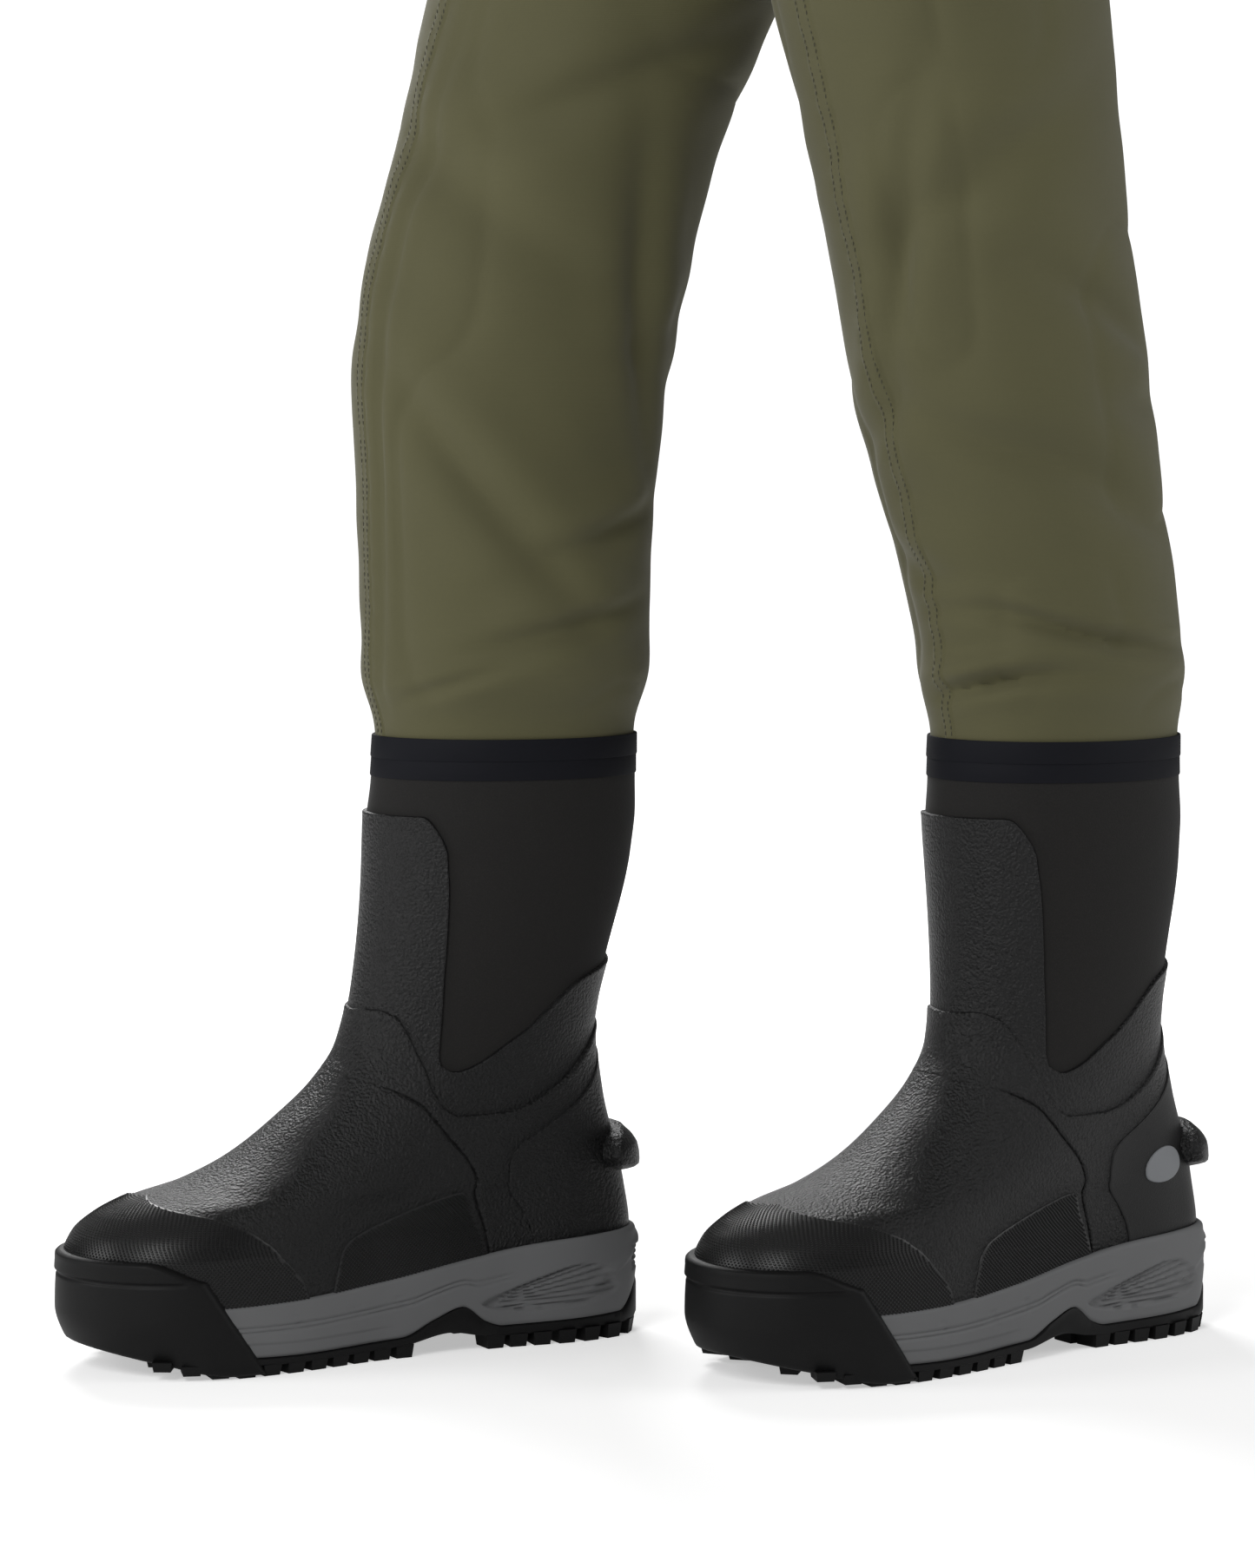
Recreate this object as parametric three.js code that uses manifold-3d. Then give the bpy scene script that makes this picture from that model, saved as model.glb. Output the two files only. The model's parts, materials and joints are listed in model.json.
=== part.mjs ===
// Bootfoot chest waders, standing in a short stride. Millimetres, +Z up.
// The wearer faces -Y, so their left hand is on +X. The origin is below the middle of the whole outline.
import * as THREE from "three";
import { mergeVertices } from "three/addons/utils/BufferGeometryUtils.js";
import Module from "manifold-3d";

const wasm = await Module();
wasm.setup();

// Driving dimensions -------------------------------------------------------

const gap = 0.3; // between pieces that touch
const layerGap = 1.3; // between nested skins whose facets differ
const columns = 24; // facets around a boot or a leg

const boot = {
  shellFront: 314, // foremost point of the rubber shell, measured from the heel
  shellBack: 5,
  tapeTop: 320,
  linerTop: 310,
  notchBottom: 148, // lowest point of the rubber's side notch
  shinTop: 281,
  backTop: 203,
  rubber: 3, // wall of the moulded shell
  neoprene: 5, // wall of the liner
  trim: 1.6, // toe cap, side panels and heel counter
  floor: 3,
};

const sole = {
  front: boot.shellFront + 2.5,
  back: boot.shellBack - 4,
  overhang: 3, // how far the midsole stands outside the shell's sides
  outsoleWall: 4,
  bumperWall: 5,
  bumperTop: 61,
  bumperBottom: 13,
  bumperLength: 72.5, // from the sole's front edge back along it
  heelBlockFront: 96,
  lugFrom: 152, // rear edge of the first row of lugs
  lugPitch: 24,
  lugLength: 15,
  lugWidth: 24,
};

const inner = { board: 2, footbed: 5, shankLength: 100, shankWidth: 18, shank: 1.5 };
const tape = { height: 20, wall: 1.2 };
const kickSpur = { reach: 13, width: 46, height: 24, chamfer: 9, z: 98 };

const stance = {
  right: { heel: [0, 0], toeOut: 4.8, lean: 0, medial: 1 },
  left: { heel: [137, 268], toeOut: 5.5, lean: 22, medial: -1 },
};

const fabric = 2; // wall of the laminated cloth
const kneeHalf = 100; // half the length of the soft stretch at each knee
const kneeZ = 500;
const crotchZ = 768;
const thighTop = 750; // where a leg joins the seat

const body = {
  x: 69.5,
  y: 52,
  hipSide: 176,
  hipDepth: 138,
  waistZ: 1050,
  waistSide: 178,
  chestSide: 196,
  chestDepth: 132,
  frontTop: 1400,
  backTop: 1330,
};

const belt = { width: 38, wall: 2.4, standOff: 6.2, straight: 56, merge: 118 };
const webbing = { width: 38, wall: 2 };
const buckle = { width: 46, depth: 14, back: 2, socket: 36, plug: 26, prong: 20 };
const loop = { width: 20, wall: 2, clearance: 0.6 };
const hem = { height: 22, wall: 1.6 };
const pocket = { halfWidth: 75, bottom: 1130, top: 1330, wall: 1.5 };
const zip = { halfWidth: 14, bottom: 1146, top: 1322, wall: 1.2, slider: [9, 5, 16], pull: [6, 1.6, 26] };
const zipPin = { radius: 0.9, reach: 2.7, z: 9 }; // the pull's axle, on the slider's face
const suspender = { spread: 76, shoulderZ: 1508, tabBottom: 1346, buckleZ: 1392 };
const yoke = { halfAngle: 17, bottom: 1250, top: 1352, wall: 2.4 };

// Materials ----------------------------------------------------------------

const finish = {
  cloth: new THREE.MeshStandardMaterial({ color: 0x56543c, roughness: 0.85 }),
  tape: new THREE.MeshStandardMaterial({ color: 0x14151a, roughness: 0.5 }),
  neoprene: new THREE.MeshStandardMaterial({ color: 0x1e1d1c, roughness: 0.95 }),
  rubber: new THREE.MeshStandardMaterial({ color: 0x232323, roughness: 0.5 }),
  foam: new THREE.MeshStandardMaterial({ color: 0x545556, roughness: 0.7 }),
  sole: new THREE.MeshStandardMaterial({ color: 0x181818, roughness: 0.7 }),
  plastic: new THREE.MeshStandardMaterial({ color: 0x1c1c1c, roughness: 0.45 }),
  badge: new THREE.MeshStandardMaterial({ color: 0x6f7478, roughness: 0.5 }),
  felt: new THREE.MeshStandardMaterial({ color: 0x3a3a38, roughness: 0.9 }),
  steel: new THREE.MeshStandardMaterial({ color: 0x9a9a9a, roughness: 0.35, metalness: 1 }),
};

// Small tools --------------------------------------------------------------

const lerp = (a, b, t) => a + (b - a) * t;
const radians = (degrees) => (degrees * Math.PI) / 180;
const smooth = (t) => {
  const s = Math.min(1, Math.max(0, t));
  return s * s * (3 - 2 * s);
};

// A smooth curve through [x, y] keys that never overshoots them.
function curve(keys) {
  const last = keys.length - 1;
  const secant = (i) => (keys[i + 1][1] - keys[i][1]) / (keys[i + 1][0] - keys[i][0]);
  const slopes = keys.map((key, i) => {
    if (i === 0) return secant(0);
    if (i === last) return secant(last - 1);
    const before = secant(i - 1);
    const after = secant(i);
    return before * after <= 0 ? 0 : (2 * before * after) / (before + after);
  });
  return (x) => {
    if (x <= keys[0][0]) return keys[0][1];
    if (x >= keys[last][0]) return keys[last][1];
    const i = keys.findIndex((key, k) => k < last && x <= keys[k + 1][0]);
    const span = keys[i + 1][0] - keys[i][0];
    const t = (x - keys[i][0]) / span;
    const rise = keys[i + 1][1] - keys[i][1];
    const a = slopes[i] * span - rise;
    const b = -slopes[i + 1] * span + rise;
    return lerp(keys[i][1], keys[i + 1][1], t) + t * (1 - t) * (a * (1 - t) + b * t);
  };
}

// Closed geometry from points and triangles, turned so that its faces point out.
function closedGeometry(points, faces) {
  let volume = 0;
  for (const [a, b, c] of faces) {
    volume += points[a].dot(new THREE.Vector3().crossVectors(points[b], points[c]));
  }
  const ordered = volume < 0 ? faces.map(([a, b, c]) => [a, c, b]) : faces;
  const geometry = new THREE.BufferGeometry().setFromPoints(points);
  geometry.setIndex(ordered.flat());
  geometry.computeVertexNormals();
  return geometry;
}

// Skin over a chain of rings. A looped chain closes on itself, an open one gets a fan at each end,
// around the ring's own middle or around a given pole.
function skinOver(rings, looped = false, poles = []) {
  const count = rings[0].length;
  const points = rings.flat();
  const faces = [];
  const spans = looped ? rings.length : rings.length - 1;
  for (let i = 0; i < spans; i++) {
    const low = i * count;
    const high = ((i + 1) % rings.length) * count;
    for (let j = 0; j < count; j++) {
      const k = (j + 1) % count;
      faces.push([low + j, low + k, high + k], [low + j, high + k, high + j]);
    }
  }
  if (!looped) {
    for (const [start, turned, pole] of [[0, true, poles[0]], [(rings.length - 1) * count, false, poles[1]]]) {
      const middle = new THREE.Vector3();
      const ring = points.slice(start, start + count);
      ring.forEach((p) => middle.addScaledVector(p, 1 / count));
      const centre = points.push(pole ?? middle) - 1;
      for (let j = 0; j < count; j++) {
        const k = (j + 1) % count;
        faces.push(turned ? [centre, start + k, start + j] : [centre, start + j, start + k]);
      }
    }
  }
  return closedGeometry(points, faces);
}

// A patch of some thickness: at(u, v, outer) gives its points, u and v run from 0 to 1.
function patch(at, uSteps, vSteps) {
  const rings = [];
  for (let i = 0; i <= uSteps; i++) {
    const ring = [];
    for (let j = 0; j <= vSteps; j++) ring.push(at(i / uSteps, j / vSteps, false));
    for (let j = vSteps; j >= 0; j--) ring.push(at(i / uSteps, j / vSteps, true));
    rings.push(ring);
  }
  const count = rings[0].length;
  const points = rings.flat();
  const faces = [];
  for (let i = 0; i < uSteps; i++) {
    for (let j = 0; j < count; j++) {
      const k = (j + 1) % count;
      const low = i * count;
      const high = low + count;
      faces.push([low + j, low + k, high + k], [low + j, high + k, high + j]);
    }
  }
  for (const [start, turned] of [[0, true], [uSteps * count, false]]) {
    for (let j = 0; j < vSteps; j++) {
      const a = start + j;
      const b = start + j + 1;
      const c = start + count - 2 - j;
      const d = start + count - 1 - j;
      faces.push(turned ? [a, c, b] : [a, b, c], turned ? [a, d, c] : [a, c, d]);
    }
  }
  return closedGeometry(points, faces);
}

function toSolid(geometry) {
  const bare = new THREE.BufferGeometry();
  bare.setAttribute("position", geometry.getAttribute("position"));
  if (geometry.index) bare.setIndex(geometry.index);
  const merged = mergeVertices(bare, 1e-3);
  const vertProperties = new Float32Array(merged.attributes.position.array);
  const triVerts = new Uint32Array(merged.index.array);
  return new wasm.Manifold(new wasm.Mesh({ numProp: 3, vertProperties, triVerts }));
}

function toGeometry(solid) {
  const mesh = solid.getMesh();
  const geometry = new THREE.BufferGeometry();
  geometry.setAttribute("position", new THREE.BufferAttribute(new Float32Array(mesh.vertProperties), 3));
  geometry.setIndex(Array.from(mesh.triVerts));
  geometry.computeVertexNormals();
  return geometry;
}

// A box between two corners.
function block(low, high) {
  const size = high.map((value, i) => value - low[i]);
  const middle = high.map((value, i) => (value + low[i]) / 2);
  return new THREE.BoxGeometry(...size).translate(...middle);
}

const blockSolid = (low, high) => toSolid(block(low, high));

const waders = new THREE.Group();

function add(group, name, geometry, material) {
  const mesh = new THREE.Mesh(geometry, material);
  mesh.name = name;
  group.add(mesh);
}

// Boot shape: x forward from the heel, y toward the other foot, z up -------

const shellFrontAt = curve([
  [30, boot.shellFront - 2], [58, boot.shellFront], [68, boot.shellFront - 4],
  [76, boot.shellFront - 14], [83, boot.shellFront - 30], [90, boot.shellFront - 58],
  [102, boot.shellFront - 86], [120, boot.shellFront - 112], [140, boot.shellFront - 135],
  [158, boot.shellFront - 148], [190, boot.shellFront - 157], [240, boot.shellFront - 163],
  [boot.shinTop, boot.shellFront - 165], [boot.tapeTop, boot.shellFront - 168],
]);
const shellBackAt = curve([
  [30, boot.shellBack], [57, boot.shellBack], [80, boot.shellBack + 3], [100, boot.shellBack + 8],
  [130, boot.shellBack + 15], [157, boot.shellBack + 18], [176, boot.shellBack + 16],
  [201, boot.shellBack + 10], [257, boot.shellBack - 4], [300, boot.shellBack - 8],
  [boot.tapeTop, boot.shellBack - 8],
]);
const shaftHalfAt = curve([
  [60, 40], [100, 41], [130, 42], [160, 45], [200, 51], [250, 57], [300, 60], [boot.tapeTop, 60],
]);
// Half width of the foot against the place along it, from the toe at 0 to the heel at 1.
const footHalfMedial = curve([[0, 78], [0.1, 73], [0.3, 56], [0.5, 41], [0.7, 38], [0.9, 54], [1, 74]]);
const footHalfLateral = curve([[0, 78], [0.1, 70], [0.3, 59], [0.5, 47], [0.7, 40], [0.9, 54], [1, 74]]);
const footShareAt = curve([[60, 1], [90, 0.72], [120, 0.34], [160, 0]]);
const soleTopAt = curve([[0, 57], [60, 54], [110, 48], [160, 41], [210, 37], [260, 36], [sole.front, 40]]);
const soleBottomAt = curve([[0, 20], [90, 20], [128, 25], [165, 13], [205, 9], [260, 11], [sole.front, 24]]);
const soleSpringAt = curve([[0, 0], [245, 0], [270, 3], [290, 7], [sole.front, 14]]);
// Height of the rubber's top edge against the angle from the front.
const rubberTopAt = curve([
  [0, boot.shinTop], [36, boot.shinTop], [48, boot.shinTop - 14], [58, boot.notchBottom + 40],
  [66, boot.notchBottom + 4], [74, boot.notchBottom], [96, boot.notchBottom + 16],
  [128, boot.backTop - 10], [180, boot.backTop],
]);
const rowShares = [0, 0.1, 0.22, 0.33, 0.43, 0.53, 0.66, 0.82, 1];
const upperShares = [0.16, 0.32, 0.5, 0.74, 1];

const angleOf = (j) => (j / columns) * 2 * Math.PI;
const degreesFromFront = (turn) => {
  const degrees = ((turn * 180) / Math.PI) % 360;
  return degrees > 180 ? 360 - degrees : degrees;
};

function footHalf(turn) {
  const along = (1 - Math.cos(turn)) / 2;
  const half = Math.sin(turn) >= 0 ? footHalfMedial(along) : footHalfLateral(along);
  return half * Math.sin(turn);
}

// A point of the boot's outer skin, standing off it by some distance.
function skinPoint(side, turn, z, off) {
  const at = (angle, height) => {
    const along = (1 - Math.cos(angle)) / 2;
    const share = footShareAt(height);
    const lean = side.lean * smooth((height - 90) / 230);
    const x = lerp(shellFrontAt(height), shellBackAt(height), along) + lean;
    const y = lerp(shaftHalfAt(height) * Math.sin(angle), footHalf(angle), share);
    return new THREE.Vector3(x, y * side.medial, height);
  };
  const base = at(turn, z);
  if (off === 0) return base;
  const around = at(turn + 0.05, z).sub(at(turn - 0.05, z));
  const up = at(turn, z + 1.5).sub(at(turn, z - 1.5));
  const normal = around.cross(up).normalize().multiplyScalar(side.medial);
  return base.addScaledVector(normal, off);
}

function soleEdge(side, turn, grow = 0) {
  const along = (1 - Math.cos(turn)) / 2;
  const length = sole.front - sole.back;
  const x = lerp(sole.front + grow, sole.back - grow, along);
  const y = footHalf(turn) * (1 + 0.1 * Math.abs(Math.cos(turn))) + (sole.overhang + grow) * Math.sin(turn);
  return { x, y: y * side.medial, share: (sole.front - x) / length };
}

// A point of the flat of the sole: share 0 is its middle and 1 its edge.
function solePoint(side, turn, share, raise) {
  const edge = soleEdge(side, turn);
  const middleX = (sole.front + sole.back) / 2;
  const z = lerp(soleTopAt(middleX), soleTopAt(edge.x), share);
  return new THREE.Vector3(lerp(middleX, edge.x, share), edge.y * share, z + raise);
}

const ringOf = (pointAt) => Array.from({ length: columns }, (_, j) => pointAt(angleOf(j)));
const lowHeight = (turn, side, share) => {
  const base = soleTopAt(soleEdge(side, turn).x);
  return lerp(base, boot.notchBottom, share);
};

// Rings up the skin, from row to row, then from the notch's height to a top edge.
function skinRings(side, off, firstRow, topAt) {
  const low = rowShares.slice(firstRow).map((share) =>
    ringOf((turn) => skinPoint(side, turn, lowHeight(turn, side, share), off)),
  );
  const high = upperShares.map((share) =>
    ringOf((turn) => skinPoint(side, turn, lerp(boot.notchBottom, topAt(turn), share), off)),
  );
  return [...low, ...high];
}

const rubberTop = (turn) => rubberTopAt(degreesFromFront(turn));
const linerTop = () => boot.linerTop;
const floorRing = (side, share, raise) => ringOf((turn) => solePoint(side, turn, share, raise));
const floorPole = (side, raise) => solePoint(side, 0, 0, raise);

function rubberShell(side) {
  const outer = skinRings(side, 0, 1, rubberTop);
  const hollow = skinRings(side, -boot.rubber, 2, rubberTop).reverse();
  return skinOver([
    floorRing(side, 0.93, gap),
    ...outer,
    ...hollow,
    floorRing(side, 0.87, gap + boot.floor),
  ], false, [floorPole(side, gap), floorPole(side, gap + boot.floor)]);
}

function linerBounds() {
  const outerOff = -boot.rubber - layerGap;
  const floorLow = gap + boot.floor + gap + inner.board + gap;
  return { outerOff, innerOff: outerOff - boot.neoprene, floorLow };
}

function neopreneLiner(side) {
  const { outerOff, innerOff, floorLow } = linerBounds();
  const outer = skinRings(side, outerOff, 2, linerTop);
  const hollow = skinRings(side, innerOff, 3, linerTop).reverse();
  return skinOver([
    floorRing(side, 0.84, floorLow),
    ...outer,
    ...hollow,
    floorRing(side, 0.74, floorLow + boot.neoprene),
  ], false, [floorPole(side, floorLow), floorPole(side, floorLow + boot.neoprene)]);
}

const slab = (side, share, low, high) =>
  skinOver([floorRing(side, share, low), floorRing(side, share, high)], false,
    [floorPole(side, low), floorPole(side, high)]);

function lastingBoard(side) {
  const low = gap + boot.floor + gap;
  return slab(side, 0.82, low, low + inner.board);
}

function footbed(side) {
  const low = linerBounds().floorLow + boot.neoprene + gap;
  return slab(side, 0.68, low, low + inner.footbed);
}

// A raised patch on the skin between two columns and two rows, on the shell's own facets.
function trimPatch(side, firstColumn, lastColumn, firstRow, lastRow) {
  const wide = lastColumn - firstColumn;
  const tall = lastRow - firstRow;
  const margin = 0.08; // of a column, kept free at each end
  return patch(
    (u, v, outer) => {
      const column = firstColumn + Math.min(wide - margin, Math.max(margin, u * wide));
      const turn = angleOf(column);
      const share = rowShares[firstRow + Math.round(v * tall)];
      return skinPoint(side, turn, lowHeight(turn, side, share), outer ? gap + boot.trim : gap);
    },
    wide,
    tall,
  );
}

function soleRing(side, grow, heightAt) {
  return ringOf((turn) => {
    const edge = soleEdge(side, turn, grow);
    return new THREE.Vector3(edge.x, edge.y, heightAt(edge.x));
  });
}

function shankPocket(clearance) {
  const x = 140;
  const z = 33;
  const half = [inner.shankLength / 2 + clearance, inner.shankWidth / 2 + clearance];
  return { low: [x - half[0], -half[1], z - clearance], high: [x + half[0], half[1], z + inner.shank] };
}

function midsole(side) {
  const solid = toSolid(skinOver([
    soleRing(side, 0, soleBottomAt),
    floorRing(side, 1, 0),
  ], false, [undefined, floorPole(side, 0)]));
  const seat = shankPocket(gap);
  seat.high[2] += 40;
  return toGeometry(solid.subtract(blockSolid(seat.low, seat.high)));
}

function outsole(side) {
  const base = toSolid(skinOver([
    soleRing(side, 0, (x) => soleBottomAt(x) - gap - sole.outsoleWall),
    soleRing(side, 0, (x) => soleBottomAt(x) - gap),
  ]));
  const footprint = toSolid(skinOver([
    soleRing(side, -2, () => 0),
    soleRing(side, -2, (x) => soleBottomAt(x) - gap - sole.outsoleWall / 2),
  ]));
  const pieces = [[[0, -60, -1], [sole.heelBlockFront, 60, 40]]];
  for (let x = sole.lugFrom; x < sole.front - sole.lugLength; x += sole.lugPitch) {
    const spring = soleSpringAt(x + sole.lugLength);
    for (const y of [-36, 0, 36]) {
      const half = sole.lugWidth / 2;
      pieces.push([[x, y - half, spring - (spring > 0 ? 0 : 1)], [x + sole.lugLength, y + half, 40]]);
    }
  }
  let lugs = null;
  for (const [low, high] of pieces) {
    const piece = footprint.intersect(blockSolid(low, high));
    lugs = lugs ? lugs.add(piece) : piece;
  }
  return toGeometry(base.add(lugs));
}

function toeBumper(side) {
  const steps = 14;
  const reach = Math.acos(1 - (2 * sole.bumperLength) / (sole.front - sole.back));
  return patch(
    (u, v, outer) => {
      const turn = lerp(-reach, reach, u);
      const edge = soleEdge(side, turn, outer ? gap + sole.bumperWall : gap * 2);
      const drop = 24 * smooth((sole.front - 22 - edge.x) / 46);
      const top = sole.bumperTop - drop;
      return new THREE.Vector3(edge.x, edge.y, lerp(sole.bumperBottom, top, v));
    },
    steps,
    1,
  );
}

// The skin filled solid, to cut what is seated on it.
const filledSkin = (side, off) => toSolid(skinOver(skinRings(side, off, 1, () => boot.tapeTop)));

// A solid step across the back of the heel, with cut corners, to hold down while the boot is pulled off.
function heelKickSpur(side) {
  const rear = shellBackAt(kickSpur.z) - kickSpur.reach;
  const root = rear + 40; // inside the shell, cut away below
  const half = kickSpur.width / 2;
  const shape = new THREE.Shape();
  shape.moveTo(root, -half);
  shape.lineTo(rear + kickSpur.chamfer, -half);
  shape.lineTo(rear, -half + kickSpur.chamfer);
  shape.lineTo(rear, half - kickSpur.chamfer);
  shape.lineTo(rear + kickSpur.chamfer, half);
  shape.lineTo(root, half);
  const bar = new THREE.ExtrudeGeometry(shape, { depth: kickSpur.height, bevelEnabled: false })
    .translate(0, 0, kickSpur.z - kickSpur.height / 2);
  const seat = filledSkin(side, boot.trim + 4 * gap);
  return toGeometry(toSolid(bar).subtract(seat));
}

// A blank oval plate low on the outer side of the heel.
function heelBadge(side) {
  const centre = { turn: radians(222), z: 92 };
  const low = boot.trim + 5 * gap;
  const ring = (share, off) =>
    Array.from({ length: 14 }, (_, i) => {
      const a = (i / 14) * 2 * Math.PI;
      const turn = centre.turn + 0.2 * share * Math.cos(a);
      return skinPoint(side, turn, centre.z + 10 * share * Math.sin(a), off);
    });
  return skinOver([ring(1, low), ring(1, low + 1.2)]);
}

function seamTape(side) {
  const off = -boot.rubber - layerGap + 0.5;
  const rows = [boot.tapeTop - tape.height, boot.tapeTop - tape.height / 2, boot.tapeTop];
  const outer = rows.map((z) => ringOf((turn) => skinPoint(side, turn, z, off + tape.wall)));
  const hollow = rows.map((z) => ringOf((turn) => skinPoint(side, turn, z, off))).reverse();
  return skinOver([...outer, ...hollow], true);
}

function addBoot(name, side) {
  const group = new THREE.Group();
  group.position.set(side.heel[0], side.heel[1], 0);
  group.rotation.z = radians(-90 - side.toeOut * side.medial);
  waders.add(group);
  const piece = (part, geometry, material) => add(group, `${name}_${part}`, geometry, material);
  piece("neoprene_liner", neopreneLiner(side), finish.neoprene);
  piece("rubber_shell", rubberShell(side), finish.rubber);
  piece("toe_cap", trimPatch(side, -5, 5, 1, 3), finish.rubber);
  piece("medial_side_panel", trimPatch(side, 6, 8, 1, 3), finish.rubber);
  piece("lateral_side_panel", trimPatch(side, 16, 18, 1, 3), finish.rubber);
  piece("heel_counter", trimPatch(side, 8, 16, 1, 5), finish.rubber);
  piece("midsole", midsole(side), finish.foam);
  piece("outsole", outsole(side), finish.sole);
  piece("toe_bumper", toeBumper(side), finish.sole);
  piece("kick_spur", heelKickSpur(side), finish.rubber);
  piece("heel_badge", heelBadge(side), finish.badge);
  piece("lasting_board", lastingBoard(side), finish.felt);
  piece("footbed", footbed(side), finish.felt);
  const shank = shankPocket(0);
  piece("shank", block(shank.low, shank.high), finish.steel);
  piece("cuff_tape", seamTape(side), finish.tape);
}

// Legs: an oval tube from the boot's cuff to the seat ----------------------

function legShape(side, knee, thigh, hip, halves) {
  const turn = radians(-90 - side.toeOut * side.medial);
  const forward = new THREE.Vector2(Math.cos(turn), Math.sin(turn));
  const cuffX = (shellFrontAt(boot.tapeTop) + shellBackAt(boot.tapeTop)) / 2 + side.lean;
  const cuffDepth = (shellFrontAt(boot.tapeTop) - shellBackAt(boot.tapeTop)) / 2;
  const cuff = [side.heel[0] + forward.x * cuffX, side.heel[1] + forward.y * cuffX];
  const inset = boot.rubber + layerGap;
  const low = boot.linerTop;
  return {
    x: curve([[low, cuff[0]], [boot.tapeTop, cuff[0]], [kneeZ, knee[0]], [thighTop, thigh[0]], [880, hip[0]]]),
    y: curve([[low, cuff[1]], [boot.tapeTop, cuff[1]], [kneeZ, knee[1]], [thighTop, thigh[1]], [880, hip[1]]]),
    depth: curve([[low, cuffDepth - inset], [boot.tapeTop, cuffDepth - inset], ...halves]),
    width: curve([
      [low, shaftHalfAt(boot.tapeTop) - inset],
      [boot.tapeTop, shaftHalfAt(boot.tapeTop) - inset],
      ...halves.map(([z, half]) => [z, half - 6 * smooth((700 - z) / 200)]),
    ]),
    toeOut: curve([[low, side.toeOut], [kneeZ, side.toeOut], [880, 0]]),
    medial: side.medial,
  };
}

const legs = {
  right: legShape(stance.right, [-18, -62], [-20, 12], [-6, 52], [
    [365, 75], [440, 79], [535, 85], [627, 87], [720, 96], [800, 101], [880, 84],
  ]),
  left: legShape(stance.left, [150, 139], [157, 82], [145, 52], [
    [365, 72], [440, 76], [500, 80], [535, 80], [627, 82], [720, 88], [800, 95], [880, 84],
  ]),
};

function legRing(leg, z, off) {
  const turned = radians(-90 - leg.toeOut(z) * leg.medial);
  const forward = [Math.cos(turned), Math.sin(turned)];
  const across = [-forward[1] * leg.medial, forward[0] * leg.medial];
  return ringOf((turn) => {
    const a = (leg.depth(z) + off) * Math.cos(turn);
    const b = (leg.width(z) + off) * Math.sin(turn);
    const x = leg.x(z) + forward[0] * a + across[0] * b;
    const y = leg.y(z) + forward[1] * a + across[1] * b;
    return new THREE.Vector3(x, y, z);
  });
}

function stations(low, high, step) {
  const count = Math.max(1, Math.ceil((high - low) / step));
  return Array.from({ length: count + 1 }, (_, i) => lerp(low, high, i / count));
}

function legTube(leg, heights) {
  const outer = heights.map((z) => legRing(leg, z, 0));
  const hollow = heights.map((z) => legRing(leg, z, -fabric)).reverse();
  return skinOver([...outer, ...hollow], true);
}

function addLeg(name, leg) {
  const calfTop = kneeZ - kneeHalf;
  const thighBottom = kneeZ + kneeHalf;
  const cuff = [boot.linerTop + gap, ...stations(boot.tapeTop + gap, calfTop, 40)];
  const knee = stations(calfTop + gap, thighBottom - gap, 70);
  const thigh = stations(thighBottom, thighTop, 60);
  add(waders, `${name}_lower_leg`, legTube(leg, cuff), finish.cloth);
  add(waders, `${name}_knee_section`, legTube(leg, knee), finish.cloth);
  add(waders, `${name}_upper_leg`, legTube(leg, thigh), finish.cloth);
}

// Seat and bib -------------------------------------------------------------

const torso = {
  side: curve([
    [crotchZ, 60], [800, 132], [850, body.hipSide - 4], [900, body.hipSide],
    [body.waistZ - 30, body.waistSide], [body.waistZ + 36, body.waistSide],
    [1200, body.chestSide], [1500, body.chestSide],
  ]),
  depth: curve([
    [crotchZ, 66], [800, 104], [850, body.hipDepth - 6], [900, body.hipDepth],
    [body.waistZ - 30, body.chestDepth], [body.waistZ + 36, body.chestDepth],
    [1200, body.chestDepth], [1500, body.chestDepth],
  ]),
};

const torsoColumns = 28;
const topEdge = (turn) => lerp(body.backTop, body.frontTop, smooth((1 + 1.25 * Math.cos(turn)) / 2));

// A point of the bib's outer skin. The turn is 0 at the front and grows toward +X.
function torsoPoint(turn, z, off) {
  const a = torso.side(z);
  const b = torso.depth(z);
  const normal = new THREE.Vector2(Math.sin(turn) / a, -Math.cos(turn) / b).normalize();
  const x = body.x + a * Math.sin(turn) + normal.x * off;
  const y = body.y - b * Math.cos(turn) + normal.y * off;
  return new THREE.Vector3(x, y, z);
}

const turnAtX = (x, z) => Math.asin(x / torso.side(z));

const torsoRows = [body.waistZ - 30, body.waistZ + 36, ...stations(1140, 1270, 65)];

function torsoSolid(off, extra) {
  const heights = [...stations(crotchZ - off, 900, 34), ...torsoRows];
  const ring = (zAt) =>
    Array.from({ length: torsoColumns }, (_, j) => {
      const turn = (j / torsoColumns) * 2 * Math.PI;
      return torsoPoint(turn, zAt(turn), off);
    });
  const rings = heights.map((z) => ring(() => z));
  rings.push(ring((turn) => topEdge(turn) + extra));
  return toSolid(skinOver(rings));
}

function legSolid(leg, off, low) {
  return toSolid(skinOver(stations(low, 872, 62).map((z) => legRing(leg, z, off))));
}

function bibShell() {
  const cut = thighTop + gap;
  let outer = torsoSolid(0, 0);
  let hollow = torsoSolid(-fabric, 4);
  for (const leg of Object.values(legs)) {
    outer = outer.add(legSolid(leg, 0, cut));
    hollow = hollow.add(legSolid(leg, -fabric, cut - 8));
  }
  return toGeometry(outer.subtract(hollow));
}

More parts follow.
